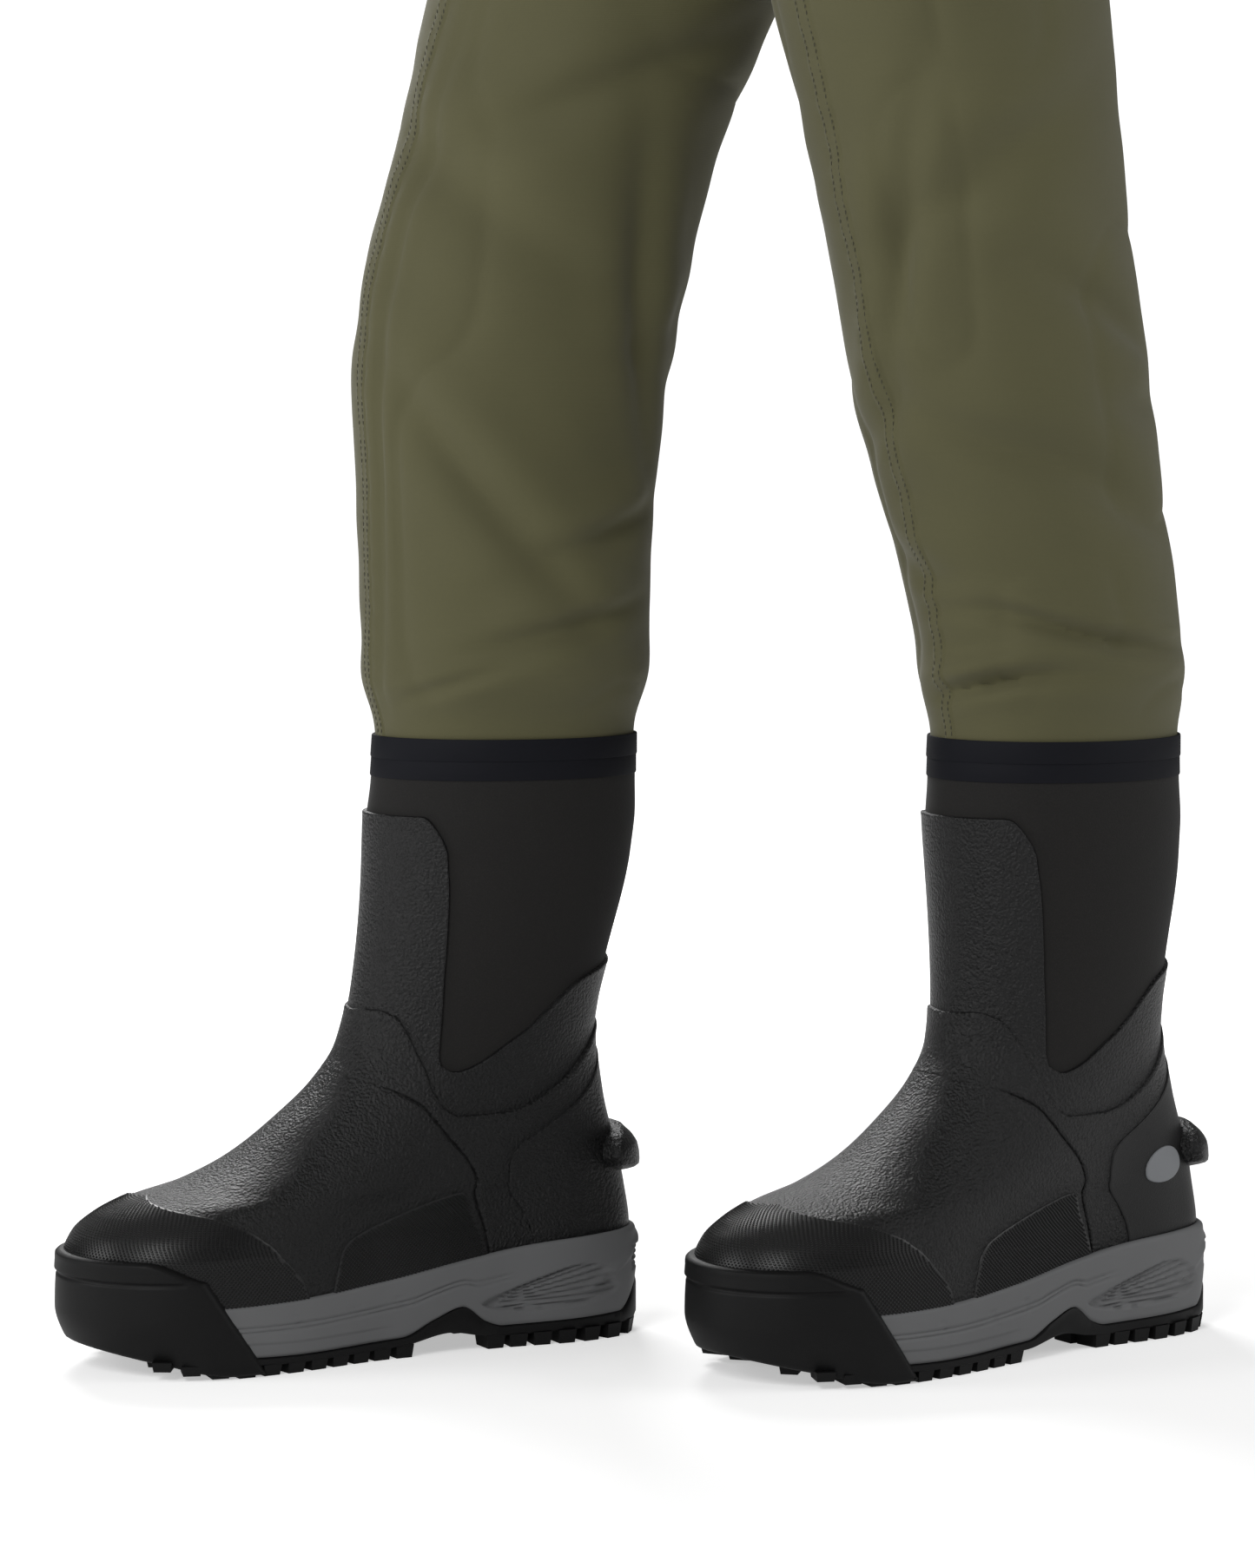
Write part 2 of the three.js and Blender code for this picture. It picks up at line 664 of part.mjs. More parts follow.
// A patch on the bib between two turns and two heights.
function bibPatch(from, to, lowAt, highAt, off, wall, steps, rows = 1) {
  return patch(
    (u, v, outer) => {
      const turn = lerp(from, to, u);
      return torsoPoint(turn, lerp(lowAt(turn), highAt(turn), v), outer ? off + wall : off);
    },
    steps,
    rows,
  );
}

const bibGap = 0.7; // lets finer facets lie clear of the bib's coarse ones
const hemOut = bibGap + hem.wall;

function topHem() {
  const rows = (off, drop) =>
    Array.from({ length: torsoColumns * 2 }, (_, j) => {
      const turn = (j / torsoColumns) * Math.PI;
      return torsoPoint(turn, topEdge(turn) - drop, off);
    });
  return skinOver(
    [rows(bibGap, 0), rows(hemOut, 0), rows(hemOut, hem.height), rows(bibGap, hem.height)],
    true,
  );
}

// Belt ---------------------------------------------------------------------

const beltMiddle = bibGap + belt.wall / 2;

// The belt's middle line: straight behind the buckle, then onto the bib.
function beltPath(turn) {
  const point = torsoPoint(turn, body.waistZ, beltMiddle);
  const reach = Math.abs(point.x - body.x);
  const facing = Math.cos(turn) > 0;
  if (!facing || reach > belt.merge) return point;
  const straightY = body.y - torso.depth(body.waistZ) - belt.standOff;
  const share = 1 - smooth((reach - belt.straight) / (belt.merge - belt.straight));
  point.y = lerp(point.y, straightY, share);
  return point;
}

function sweptBand(path, normals, acrossAt, wall, width) {
  const rings = path.map((p, i) => {
    const n = normals[i].clone().multiplyScalar(wall / 2);
    const w = acrossAt(i).clone().multiplyScalar(width / 2);
    return [
      p.clone().sub(n).sub(w), p.clone().add(n).sub(w), p.clone().add(n).add(w), p.clone().sub(n).add(w),
    ];
  });
  return skinOver(rings);
}

function wadingBelt() {
  const firstTurn = turnAtX(10, body.waistZ);
  const lastTurn = 2 * Math.PI + turnAtX(-buckle.socket + 9, body.waistZ);
  const turns = stations(0, 1, 1 / 60).map((t) => lerp(firstTurn, lastTurn, t));
  const path = turns.map(beltPath);
  const up = new THREE.Vector3(0, 0, 1);
  const normals = path.map((p, i) => {
    const before = path[Math.max(0, i - 1)];
    const after = path[Math.min(path.length - 1, i + 1)];
    return new THREE.Vector3().subVectors(after, before).normalize().cross(up).normalize();
  });
  return sweptBand(path, normals, () => up, belt.wall, belt.width);
}

// Side-release buckle: the plug leaves along +X, the wearer's side is +Y and the webbing is centred on it.
function buckleSocket(webWidth, webWall) {
  const half = buckle.width / 2;
  const front = -buckle.depth + webWall;
  const back = webWall + buckle.back;
  const body = blockSolid([-buckle.socket, front, -half], [0, back, half]);
  const mouth = blockSolid([-buckle.prong - 3, front + 2.5, -half + 3], [1, -1.6, half - 3]);
  const channel = blockSolid([-buckle.socket - 1, -webWall / 2 - gap, -webWidth / 2 - gap],
    [1, webWall / 2 + gap, webWidth / 2 + gap]);
  return toGeometry(body.subtract(mouth).subtract(channel));
}

function bucklePlug(webWidth, webWall) {
  const half = buckle.width / 2;
  const front = -buckle.depth + webWall;
  const back = webWall + buckle.back;
  const body = blockSolid([gap, front, -half], [buckle.plug, back, half]);
  const channel = blockSolid([-1, -webWall / 2 - gap, -webWidth / 2 - gap],
    [buckle.plug + 1, webWall / 2 + gap, webWidth / 2 + gap]);
  let plug = body.subtract(channel);
  for (const end of [-1, 1]) {
    const near = end * (half - 3 - gap);
    const far = end * (half - 11);
    const low = [-buckle.prong, front + 2.5 + gap, Math.min(near, far)];
    plug = plug.add(blockSolid(low, [gap + 1, -1.6 - gap, Math.max(near, far)]));
  }
  return toGeometry(plug);
}

function addBelt() {
  add(waders, "wading_belt", wadingBelt(), finish.tape);
  const group = new THREE.Group();
  group.position.set(body.x, body.y - torso.depth(body.waistZ) - belt.standOff, body.waistZ);
  waders.add(group);
  add(group, "belt_buckle_socket", buckleSocket(belt.width, belt.wall), finish.plastic);
  add(group, "belt_buckle_plug", bucklePlug(belt.width, belt.wall), finish.plastic);
}

// A flat strap sewn above and below the belt and standing over it.
function beltLoop(turn) {
  const over = bibGap + belt.wall + loop.clearance;
  const reach = belt.width / 2 + loop.clearance + 1;
  const foot = 12;
  const steps = 4;
  const halfTurn = loop.width / 2 / 150;
  const profile = [
    [bibGap, -reach - foot], [bibGap, -reach], [over, -reach], [over, reach],
    [bibGap, reach], [bibGap, reach + foot],
    [bibGap + loop.wall, reach + foot], [bibGap + loop.wall, reach + loop.wall],
    [over + loop.wall, reach + loop.wall], [over + loop.wall, -reach - loop.wall],
    [bibGap + loop.wall, -reach - loop.wall], [bibGap + loop.wall, -reach - foot],
  ];
  const shape = new THREE.Shape(profile.map(([off, z]) => new THREE.Vector2(off, z)));
  const flat = new THREE.ExtrudeGeometry(shape, { depth: 1, steps, bevelEnabled: false });
  flat.deleteAttribute("normal").deleteAttribute("uv");
  const merged = mergeVertices(flat);
  const place = merged.getAttribute("position");
  const points = Array.from({ length: place.count }, (_, i) => {
    const spot = lerp(turn - halfTurn, turn + halfTurn, place.getZ(i));
    return torsoPoint(spot, body.waistZ + place.getY(i), place.getX(i));
  });
  const corners = Array.from(merged.index.array);
  const faces = Array.from({ length: corners.length / 3 }, (_, i) => corners.slice(3 * i, 3 * i + 3));
  return closedGeometry(points, faces);
}

// Chest pocket with an upright zip -----------------------------------------

const pocketOut = bibGap + pocket.wall;
const zipOut = pocketOut + 0.4 + zip.wall;

function addPocket() {
  const wide = turnAtX(pocket.halfWidth, pocket.top);
  const low = () => pocket.bottom;
  const high = () => pocket.top;
  add(waders, "chest_pocket", bibPatch(-wide, wide, low, high, bibGap, pocket.wall, 10), finish.cloth);
  const narrow = turnAtX(zip.halfWidth, pocket.top);
  const tapeLow = () => zip.bottom;
  const tapeHigh = () => zip.top;
  const tapeShape = bibPatch(-narrow, narrow, tapeLow, tapeHigh, pocketOut + 0.4, zip.wall, 4);
  add(waders, "pocket_zip_tape", tapeShape, finish.tape);
  const front = body.y - torso.depth(pocket.top);
  const [width, depth, height] = zip.slider;
  const [pullWidth, pullDepth, pullHeight] = zip.pull;
  const group = new THREE.Group();
  group.position.set(body.x, front - zipOut - gap, zip.top - height - 2);
  waders.add(group);
  const pinY = -depth - zipPin.reach;
  const axle = (radius, length) =>
    toSolid(new THREE.CylinderGeometry(radius, radius, length, 12).rotateZ(Math.PI / 2)
      .translate(0, pinY, zipPin.z));
  let slider = blockSolid([-width / 2, -depth, 0], [width / 2, 0, height]);
  for (const end of [-1, 1]) {
    const edges = [end * (width / 2), end * (pullWidth / 2 + gap)].sort((a, b) => a - b);
    slider = slider.add(blockSolid(
      [edges[0], pinY - zipPin.radius - 0.5, zipPin.z - 2.5],
      [edges[1], -depth + 1, zipPin.z + 2.5],
    ));
  }
  slider = slider.add(axle(zipPin.radius, width - 1));
  add(group, "pocket_zip_slider", toGeometry(slider), finish.plastic);
  const plate = blockSolid(
    [-pullWidth / 2, pinY - pullDepth / 2, zipPin.z - pullHeight],
    [pullWidth / 2, pinY + pullDepth / 2, zipPin.z],
  );
  const pull = plate.add(axle(zipPin.radius + 1.2, pullWidth)).subtract(axle(zipPin.radius + gap, width));
  add(group, "pocket_zip_pull", toGeometry(pull), finish.plastic);
}

// Suspenders ---------------------------------------------------------------

const strapOut = hemOut + 2 * gap + webbing.wall + buckle.back;

function strapPath(sign) {
  const startZ = suspender.buckleZ + 8;
  const straight = buckle.plug + buckle.prong + 8; // the plug slides up along it
  const start = torsoPoint(turnAtX(sign * suspender.spread, startZ), startZ, strapOut);
  const end = torsoPoint(Math.PI - sign * radians(yoke.halfAngle * 0.55), yoke.top + gap, bibGap + 1.2);
  const at = (x, y, z) => new THREE.Vector3(body.x + sign * x, y, z);
  const points = [
    start,
    start.clone().setZ(startZ + straight / 2),
    start.clone().setZ(startZ + straight),
    start.clone().setZ(startZ + straight + 14),
    at(79, body.y - 106, 1482),
    at(84, body.y - 52, suspender.shoulderZ - 4),
    at(84, body.y + 10, suspender.shoulderZ),
    at(76, body.y + 66, suspender.shoulderZ - 16),
    at(60, body.y + 106, suspender.shoulderZ - 52),
    end.clone().add(new THREE.Vector3(sign * 10, -6, 56)),
    end.clone().add(new THREE.Vector3(0, 0, 18)),
    end,
  ];
  return new THREE.CatmullRomCurve3(points, false, "centripetal");
}

function suspenderStrap(sign) {
  const path = strapPath(sign);
  const count = 34;
  const points = path.getPoints(count);
  const startTurn = turnAtX(sign * suspender.spread, suspender.buckleZ);
  const frontNormal = torsoPoint(startTurn, suspender.buckleZ, 1).sub(torsoPoint(startTurn, suspender.buckleZ, 0));
  const startAcross = new THREE.Vector3(-frontNormal.y, frontNormal.x, 0).normalize();
  if (startAcross.x < 0) startAcross.negate();
  const endAcross = new THREE.Vector3(1, 0, 0);
  const across = points.map((_, i) => startAcross.clone().lerp(endAcross, smooth((i / count - 0.15) / 0.4)));
  const normals = points.map((_, i) => {
    const tangent = path.getTangent(i / count);
    return new THREE.Vector3().crossVectors(tangent, across[i]).normalize();
  });
  const flat = points.map((_, i) => {
    const tangent = path.getTangent(i / count);
    return new THREE.Vector3().crossVectors(normals[i], tangent).normalize();
  });
  return sweptBand(points, normals, (i) => flat[i], webbing.wall, webbing.width);
}

// Webbing sewn flat on the bib, then lifted into the socket's channel.
function frontTab() {
  const low = suspender.tabBottom - suspender.buckleZ;
  const onBib = strapOut - bibGap - gap - webbing.wall / 2;
  const top = -buckle.socket + 10;
  const path = [[onBib, low - 10], [onBib, low], [0, -buckle.socket - 1], [0, top]];
  const across = new THREE.Vector3(1, 0, 0);
  const outward = new THREE.Vector3(0, -1, 0);
  const points = path.map(([y, z]) => new THREE.Vector3(0, y, z));
  return sweptBand(points, points.map(() => outward), () => across, webbing.wall, webbing.width);
}

function addSuspender(name, sign) {
  add(waders, `${name}_suspender`, suspenderStrap(sign), finish.tape);
  const turn = turnAtX(sign * suspender.spread, suspender.buckleZ);
  const seat = torsoPoint(turn, suspender.buckleZ, strapOut);
  const outward = torsoPoint(turn, suspender.buckleZ, 1).sub(torsoPoint(turn, suspender.buckleZ, 0));
  const group = new THREE.Group();
  group.position.copy(seat);
  group.rotation.z = Math.atan2(outward.x, -outward.y);
  waders.add(group);
  const upright = new THREE.Group();
  upright.rotation.y = -Math.PI / 2;
  group.add(upright);
  add(upright, `${name}_buckle_socket`, buckleSocket(webbing.width, webbing.wall), finish.plastic);
  add(upright, `${name}_buckle_plug`, bucklePlug(webbing.width, webbing.wall), finish.plastic);
  add(group, `${name}_front_tab`, frontTab(), finish.tape);
}

function backYoke() {
  const half = radians(yoke.halfAngle);
  const lowAt = (turn) => yoke.bottom + 50 * smooth(Math.abs(turn - Math.PI) / half);
  const off = hemOut + 0.7;
  return bibPatch(Math.PI - half, Math.PI + half, lowAt, () => yoke.top, off, yoke.wall, 10, 2);
}

// Assembly -----------------------------------------------------------------

addBoot("right", stance.right);
addBoot("left", stance.left);
addLeg("right", legs.right);
addLeg("left", legs.left);
add(waders, "bib_and_seat", bibShell(), finish.cloth);
add(waders, "bib_top_hem", topHem(), finish.cloth);
addBelt();
add(waders, "right_belt_loop", beltLoop(radians(-62)), finish.cloth);
add(waders, "left_belt_loop", beltLoop(radians(62)), finish.cloth);
add(waders, "back_belt_loop", beltLoop(Math.PI), finish.cloth);
addPocket();
addSuspender("right", -1);
addSuspender("left", 1);
add(waders, "back_yoke", backYoke(), finish.tape);

waders.updateMatrixWorld(true);
const outline = new THREE.Box3().setFromObject(waders, true);
const centre = outline.getCenter(new THREE.Vector3());
waders.position.set(-centre.x, -centre.y, -outline.min.z);

export default waders;
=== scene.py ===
import json
import math

import bmesh
import bpy
import numpy as np
from mathutils import Vector
from mathutils.bvhtree import BVHTree
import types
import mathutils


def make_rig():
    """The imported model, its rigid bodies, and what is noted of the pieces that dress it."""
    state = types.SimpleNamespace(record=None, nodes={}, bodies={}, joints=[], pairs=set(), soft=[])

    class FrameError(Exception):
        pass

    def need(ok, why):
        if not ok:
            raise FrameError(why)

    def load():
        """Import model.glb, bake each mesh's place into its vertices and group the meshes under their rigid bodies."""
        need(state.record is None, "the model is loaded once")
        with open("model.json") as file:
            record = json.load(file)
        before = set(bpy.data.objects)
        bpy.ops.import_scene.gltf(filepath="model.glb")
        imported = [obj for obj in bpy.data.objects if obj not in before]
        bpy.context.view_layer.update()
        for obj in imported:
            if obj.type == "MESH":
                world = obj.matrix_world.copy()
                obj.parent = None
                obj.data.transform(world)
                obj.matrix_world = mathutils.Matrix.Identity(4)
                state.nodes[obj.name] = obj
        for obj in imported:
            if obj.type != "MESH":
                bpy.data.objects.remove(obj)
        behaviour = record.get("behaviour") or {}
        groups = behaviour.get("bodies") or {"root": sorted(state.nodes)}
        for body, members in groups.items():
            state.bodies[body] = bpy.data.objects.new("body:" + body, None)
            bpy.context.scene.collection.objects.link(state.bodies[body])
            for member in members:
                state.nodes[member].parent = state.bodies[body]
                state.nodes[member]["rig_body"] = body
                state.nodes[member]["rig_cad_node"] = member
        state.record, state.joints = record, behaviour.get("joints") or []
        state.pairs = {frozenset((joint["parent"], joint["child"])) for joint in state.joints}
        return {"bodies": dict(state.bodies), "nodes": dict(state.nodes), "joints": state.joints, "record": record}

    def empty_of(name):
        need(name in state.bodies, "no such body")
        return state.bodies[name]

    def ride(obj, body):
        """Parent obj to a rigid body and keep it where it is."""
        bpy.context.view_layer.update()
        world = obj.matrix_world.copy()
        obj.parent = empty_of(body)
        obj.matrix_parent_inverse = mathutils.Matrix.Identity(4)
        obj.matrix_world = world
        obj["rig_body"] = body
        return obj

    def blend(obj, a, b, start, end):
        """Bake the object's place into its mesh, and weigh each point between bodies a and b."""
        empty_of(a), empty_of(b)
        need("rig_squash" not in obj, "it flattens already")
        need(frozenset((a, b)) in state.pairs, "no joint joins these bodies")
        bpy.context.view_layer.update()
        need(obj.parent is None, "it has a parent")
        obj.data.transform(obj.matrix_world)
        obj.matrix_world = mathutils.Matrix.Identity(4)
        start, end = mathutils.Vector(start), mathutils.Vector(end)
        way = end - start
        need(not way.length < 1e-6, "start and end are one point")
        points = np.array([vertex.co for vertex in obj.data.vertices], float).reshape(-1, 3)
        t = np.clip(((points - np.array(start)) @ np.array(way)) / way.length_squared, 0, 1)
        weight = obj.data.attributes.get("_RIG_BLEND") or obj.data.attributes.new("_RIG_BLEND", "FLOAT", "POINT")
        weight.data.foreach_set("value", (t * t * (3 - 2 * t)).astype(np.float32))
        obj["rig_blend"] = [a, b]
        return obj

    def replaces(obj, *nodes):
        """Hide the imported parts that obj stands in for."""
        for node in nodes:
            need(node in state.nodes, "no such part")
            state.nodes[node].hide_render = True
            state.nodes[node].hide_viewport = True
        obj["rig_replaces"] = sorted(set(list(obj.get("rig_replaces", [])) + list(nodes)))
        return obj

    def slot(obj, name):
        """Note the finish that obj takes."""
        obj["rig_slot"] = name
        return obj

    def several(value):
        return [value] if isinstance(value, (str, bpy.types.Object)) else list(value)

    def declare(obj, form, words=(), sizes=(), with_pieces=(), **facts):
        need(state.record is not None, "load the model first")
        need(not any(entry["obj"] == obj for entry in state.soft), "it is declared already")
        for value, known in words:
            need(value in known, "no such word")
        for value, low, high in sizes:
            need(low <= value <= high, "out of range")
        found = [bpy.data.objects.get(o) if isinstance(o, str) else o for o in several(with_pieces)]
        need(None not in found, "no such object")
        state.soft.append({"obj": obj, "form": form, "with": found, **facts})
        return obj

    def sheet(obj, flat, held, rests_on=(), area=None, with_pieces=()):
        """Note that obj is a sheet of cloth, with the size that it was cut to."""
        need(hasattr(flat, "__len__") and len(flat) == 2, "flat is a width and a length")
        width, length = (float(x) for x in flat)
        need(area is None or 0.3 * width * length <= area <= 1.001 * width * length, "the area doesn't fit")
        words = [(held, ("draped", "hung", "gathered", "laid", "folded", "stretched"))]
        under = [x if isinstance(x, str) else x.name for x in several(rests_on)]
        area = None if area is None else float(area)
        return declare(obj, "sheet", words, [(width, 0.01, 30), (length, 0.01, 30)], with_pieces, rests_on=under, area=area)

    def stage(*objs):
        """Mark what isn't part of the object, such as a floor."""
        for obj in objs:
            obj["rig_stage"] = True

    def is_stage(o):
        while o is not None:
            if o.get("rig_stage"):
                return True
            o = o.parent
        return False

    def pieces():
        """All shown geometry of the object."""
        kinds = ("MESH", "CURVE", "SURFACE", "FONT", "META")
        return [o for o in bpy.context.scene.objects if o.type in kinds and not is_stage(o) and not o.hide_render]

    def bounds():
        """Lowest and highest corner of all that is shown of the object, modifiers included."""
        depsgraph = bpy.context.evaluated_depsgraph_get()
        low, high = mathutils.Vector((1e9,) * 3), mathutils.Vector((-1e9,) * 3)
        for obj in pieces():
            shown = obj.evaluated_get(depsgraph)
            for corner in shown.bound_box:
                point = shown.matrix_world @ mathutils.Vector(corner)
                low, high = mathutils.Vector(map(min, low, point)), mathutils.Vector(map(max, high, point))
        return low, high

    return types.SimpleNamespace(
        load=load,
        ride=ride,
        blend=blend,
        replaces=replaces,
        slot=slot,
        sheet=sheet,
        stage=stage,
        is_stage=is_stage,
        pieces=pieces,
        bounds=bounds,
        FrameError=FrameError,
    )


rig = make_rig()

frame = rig.load()
cadBox = [list(corner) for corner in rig.bounds()]
print("frame loaded")

mm = 0.001  # shapes are worked out in millimetres and placed in metres


def smooth(t):
    s = np.clip(t, 0.0, 1.0)
    return s * s * (3 - 2 * s)


def mix(a, b, t):
    return a + (b - a) * t


def curveThrough(keys):  # a smooth curve that never overshoots its keys
    xs = np.array([key[0] for key in keys], float)
    ys = np.array([key[1] for key in keys], float)
    secants = np.diff(ys) / np.diff(xs)
    slopes = np.zeros(len(xs))
    slopes[0], slopes[-1] = secants[0], secants[-1]
    for i in range(1, len(xs) - 1):
        before, after = secants[i - 1], secants[i]
        slopes[i] = 0 if before * after <= 0 else 2 * before * after / (before + after)

    def at(x):
        x = np.clip(np.asarray(x, float), xs[0], xs[-1])
        i = np.clip(np.searchsorted(xs, x, side="right") - 1, 0, len(xs) - 2)
        span = xs[i + 1] - xs[i]
        t = (x - xs[i]) / span
        rise = ys[i + 1] - ys[i]
        a = slopes[i] * span - rise
        b = -slopes[i + 1] * span + rise
        return ys[i] + rise * t + t * (1 - t) * (a * (1 - t) + b * t)

    return at


lattice = np.random.default_rng(11).random((24, 24, 24)) * 2 - 1


def softNoise(x, y, z, size):  # -1 to 1, in lumps of about size
    total = 0
    spots = [np.asarray(v, float) / size for v in np.broadcast_arrays(x, y, z)]
    cell = [np.floor(v).astype(int) for v in spots]
    part = [smooth(v - c) for v, c in zip(spots, cell)]
    for i in (0, 1):
        for j in (0, 1):
            for k in (0, 1):
                share = np.abs(1 - i - part[0]) * np.abs(1 - j - part[1]) * np.abs(1 - k - part[2])
                total = total + share * lattice[(cell[0] + i) % 24, (cell[1] + j) % 24, (cell[2] + k) % 24]
    return total


class Wire:  # a socket of a material's tree, so that sums on it read as sums
    def __init__(self, sheet, socket):
        self.sheet = sheet
        self.socket = socket

    def math(self, kind, *values):
        return self.sheet.node("Math", {"operation": kind}, dict(enumerate(values))).out()

    def __add__(self, other):
        return self.math("ADD", self, other)

    def __sub__(self, other):
        return self.math("SUBTRACT", self, other)

    def __mul__(self, other):
        return self.math("MULTIPLY", self, other)

    def __rsub__(self, other):
        return self.math("SUBTRACT", other, self)

    __radd__ = __add__
    __rmul__ = __mul__


class Made:  # a node with its outputs by name
    def __init__(self, sheet, node):
        self.sheet = sheet
        self.made = node

    def out(self, name=0):
        return Wire(self.sheet, self.made.outputs[name])


class Finish:  # one material and its tree
    def __init__(self, name):
        self.material = bpy.data.materials.new(name)
        self.material.use_nodes = True
        self.tree = self.material.node_tree
        self.tree.nodes.clear()

    def node(self, kind, settings=None, values=None):
        node = self.tree.nodes.new("ShaderNode" + kind)
        for key, value in (settings or {}).items():
            if key == "stops":
                ramp = node.color_ramp
                while len(ramp.elements) < len(value):
                    ramp.elements.new(0.5)
                for element, (spot, shade) in zip(ramp.elements, value):
                    element.position = spot
                    element.color = shade if len(shade) == 4 else (*shade, 1)
            else:
                setattr(node, key, value)
        for key, value in (values or {}).items():
            if isinstance(value, Wire):
                self.tree.links.new(value.socket, node.inputs[key])
            elif isinstance(value, tuple) and len(value) == 3 and node.inputs[key].type == "RGBA":
                node.inputs[key].default_value = (*value, 1)
            else:
                node.inputs[key].default_value = value
        return Made(self, node)

    def place(self):  # coordinates in millimetres
        spot = self.node("TexCoord").out("Object")
        return self.node("VectorMath", {"operation": "SCALE"}, {0: spot, "Scale": 1000.0}).out()

    def noise(self, place, size, detail=2.0, rough=0.5):
        values = {"Vector": place, "Scale": 1.0 / size, "Detail": detail, "Roughness": rough}
        return self.node("TexNoise", {}, values).out("Fac")

    def cells(self, place, size, feature="F1"):
        settings = {"feature": feature}
        return self.node("TexVoronoi", settings, {"Vector": place, "Scale": 1.0 / size}).out("Distance")

    def blendColours(self, share, first, second):
        node = self.tree.nodes.new("ShaderNodeMix")
        node.data_type = "RGBA"
        sockets = [s for s in node.inputs if s.type == "RGBA"]
        for socket, value in zip(sockets, (first, second)):
            if isinstance(value, Wire):
                self.tree.links.new(value.socket, socket)
            else:
                socket.default_value = (*value, 1)
        self.tree.links.new(share.socket, node.inputs[0])
        return Wire(self, [s for s in node.outputs if s.type == "RGBA"][0])

    def bump(self, height, distance, strength=1.0, under=None):
        values = {"Height": height, "Distance": distance * mm, "Strength": strength}
        if under is not None:
            values["Normal"] = under
        return self.node("Bump", {}, values).out()

    def finish(self, values):
        shader = self.node("BsdfPrincipled", {}, values).out()
        self.node("OutputMaterial", {}, {"Surface": shader})
        return self.material


def madeCloth(name, colour, dark):
    f = Finish(name)
    place = f.place()
    thread = f.node("TexCoord").out("UV")
    across = f.node("SeparateXYZ", {}, {0: thread})
    pitch = 2 * math.pi / 0.55e-3
    warp = (across.out("X") * pitch).math("SINE", across.out("X") * pitch)
    weft = (across.out("Y") * pitch).math("SINE", across.out("Y") * pitch)
    weave = warp * weft
    broad = f.noise(place, 90.0, 3.0)
    fine = f.noise(place, 1.6, 3.0, 0.6)
    shade = f.blendColours(broad * 0.7 + fine * 0.3, dark, colour)
    rough = broad * 0.08 + 0.78
    under = f.bump(fine, 0.12, 0.35)
    normal = f.bump(weave, 0.05, 0.4, under)
    return f.finish({"Base Color": shade, "Roughness": rough, "Normal": normal, "Sheen Weight": 0.12,
                     "Sheen Roughness": 0.5, "Specular IOR Level": 0.35})


def madeWebbing(name, colour, dark, pitch=1.8):
    f = Finish(name)
    across = f.node("SeparateXYZ", {}, {0: f.node("TexCoord").out("UV")})
    turns = 2 * math.pi / (pitch * mm)
    rib = (across.out("X") * turns).math("SINE", across.out("X") * turns)
    pick = (across.out("Y") * (turns * 1.4)).math("SINE", across.out("Y") * (turns * 1.4))
    weave = rib * 0.5 + rib * pick * 0.5
    fuzz = f.noise(f.place(), 0.7, 2.0)
    shade = f.blendColours(weave * 0.35 + fuzz * 0.5 + 0.1, dark, colour)
    normal = f.bump(weave, 0.16, 0.8)
    return f.finish({"Base Color": shade, "Roughness": fuzz * 0.15 + 0.68, "Normal": normal,
                     "Sheen Weight": 0.15, "Specular IOR Level": 0.4})


def madeRubber(name, shadeLow, shadeHigh, grain, depth, rough):
    f = Finish(name)
    place = f.place()
    drift = f.node("TexNoise", {}, {"Vector": place, "Scale": 0.8, "Detail": 2.0}).out("Color")
    warped = f.node("VectorMath", {"operation": "ADD"}, {0: place, 1: drift}).out()
    pebble = f.cells(warped, grain, "SMOOTH_F1")
    second = f.noise(place, grain * 0.55, 3.0, 0.6)
    broad = f.noise(place, 40.0, 3.0)
    height = (1.0 - pebble) + second * 0.6
    shade = f.blendColours(broad * 0.5 + second * 0.5, shadeLow, shadeHigh)
    normal = f.bump(height, depth, 0.9)
    return f.finish({"Base Color": shade, "Roughness": second * 0.16 + broad * 0.08 + rough, "Normal": normal,
                     "Specular IOR Level": 0.3})


def madeSmoothRubber(name, shadeLow, shadeHigh, rough, depth=0.05, shine=0.42):
    f = Finish(name)
    place = f.place()
    broad = f.noise(place, 30.0, 4.0)
    fine = f.noise(place, 0.6, 2.0)
    shade = f.blendColours(broad * 0.7 + fine * 0.3, shadeLow, shadeHigh)
    normal = f.bump(fine, depth, 0.6)
    return f.finish({"Base Color": shade, "Roughness": broad * 0.12 + fine * 0.06 + rough, "Normal": normal,
                     "Specular IOR Level": shine})


def madeNeoprene(name):
    f = Finish(name)
    place = f.place()
    knit = f.cells(place, 0.8)
    broad = f.noise(place, 25.0, 3.0)
    shade = f.blendColours(knit * 0.6 + broad * 0.4, (0.0105, 0.010, 0.0098), (0.019, 0.018, 0.017))
    normal = f.bump(knit, 0.1, 0.5, f.bump(broad, 0.8, 0.15))
    return f.finish({"Base Color": shade, "Roughness": broad * 0.08 + 0.86, "Normal": normal,
                     "Sheen Weight": 0.08, "Sheen Roughness": 0.4, "Specular IOR Level": 0.25})


def madeMetal(name, colour, rough):
    f = Finish(name)
    broad = f.noise(f.place(), 6.0, 4.0)
    return f.finish({"Base Color": colour, "Metallic": 1.0, "Roughness": broad * 0.2 + rough})


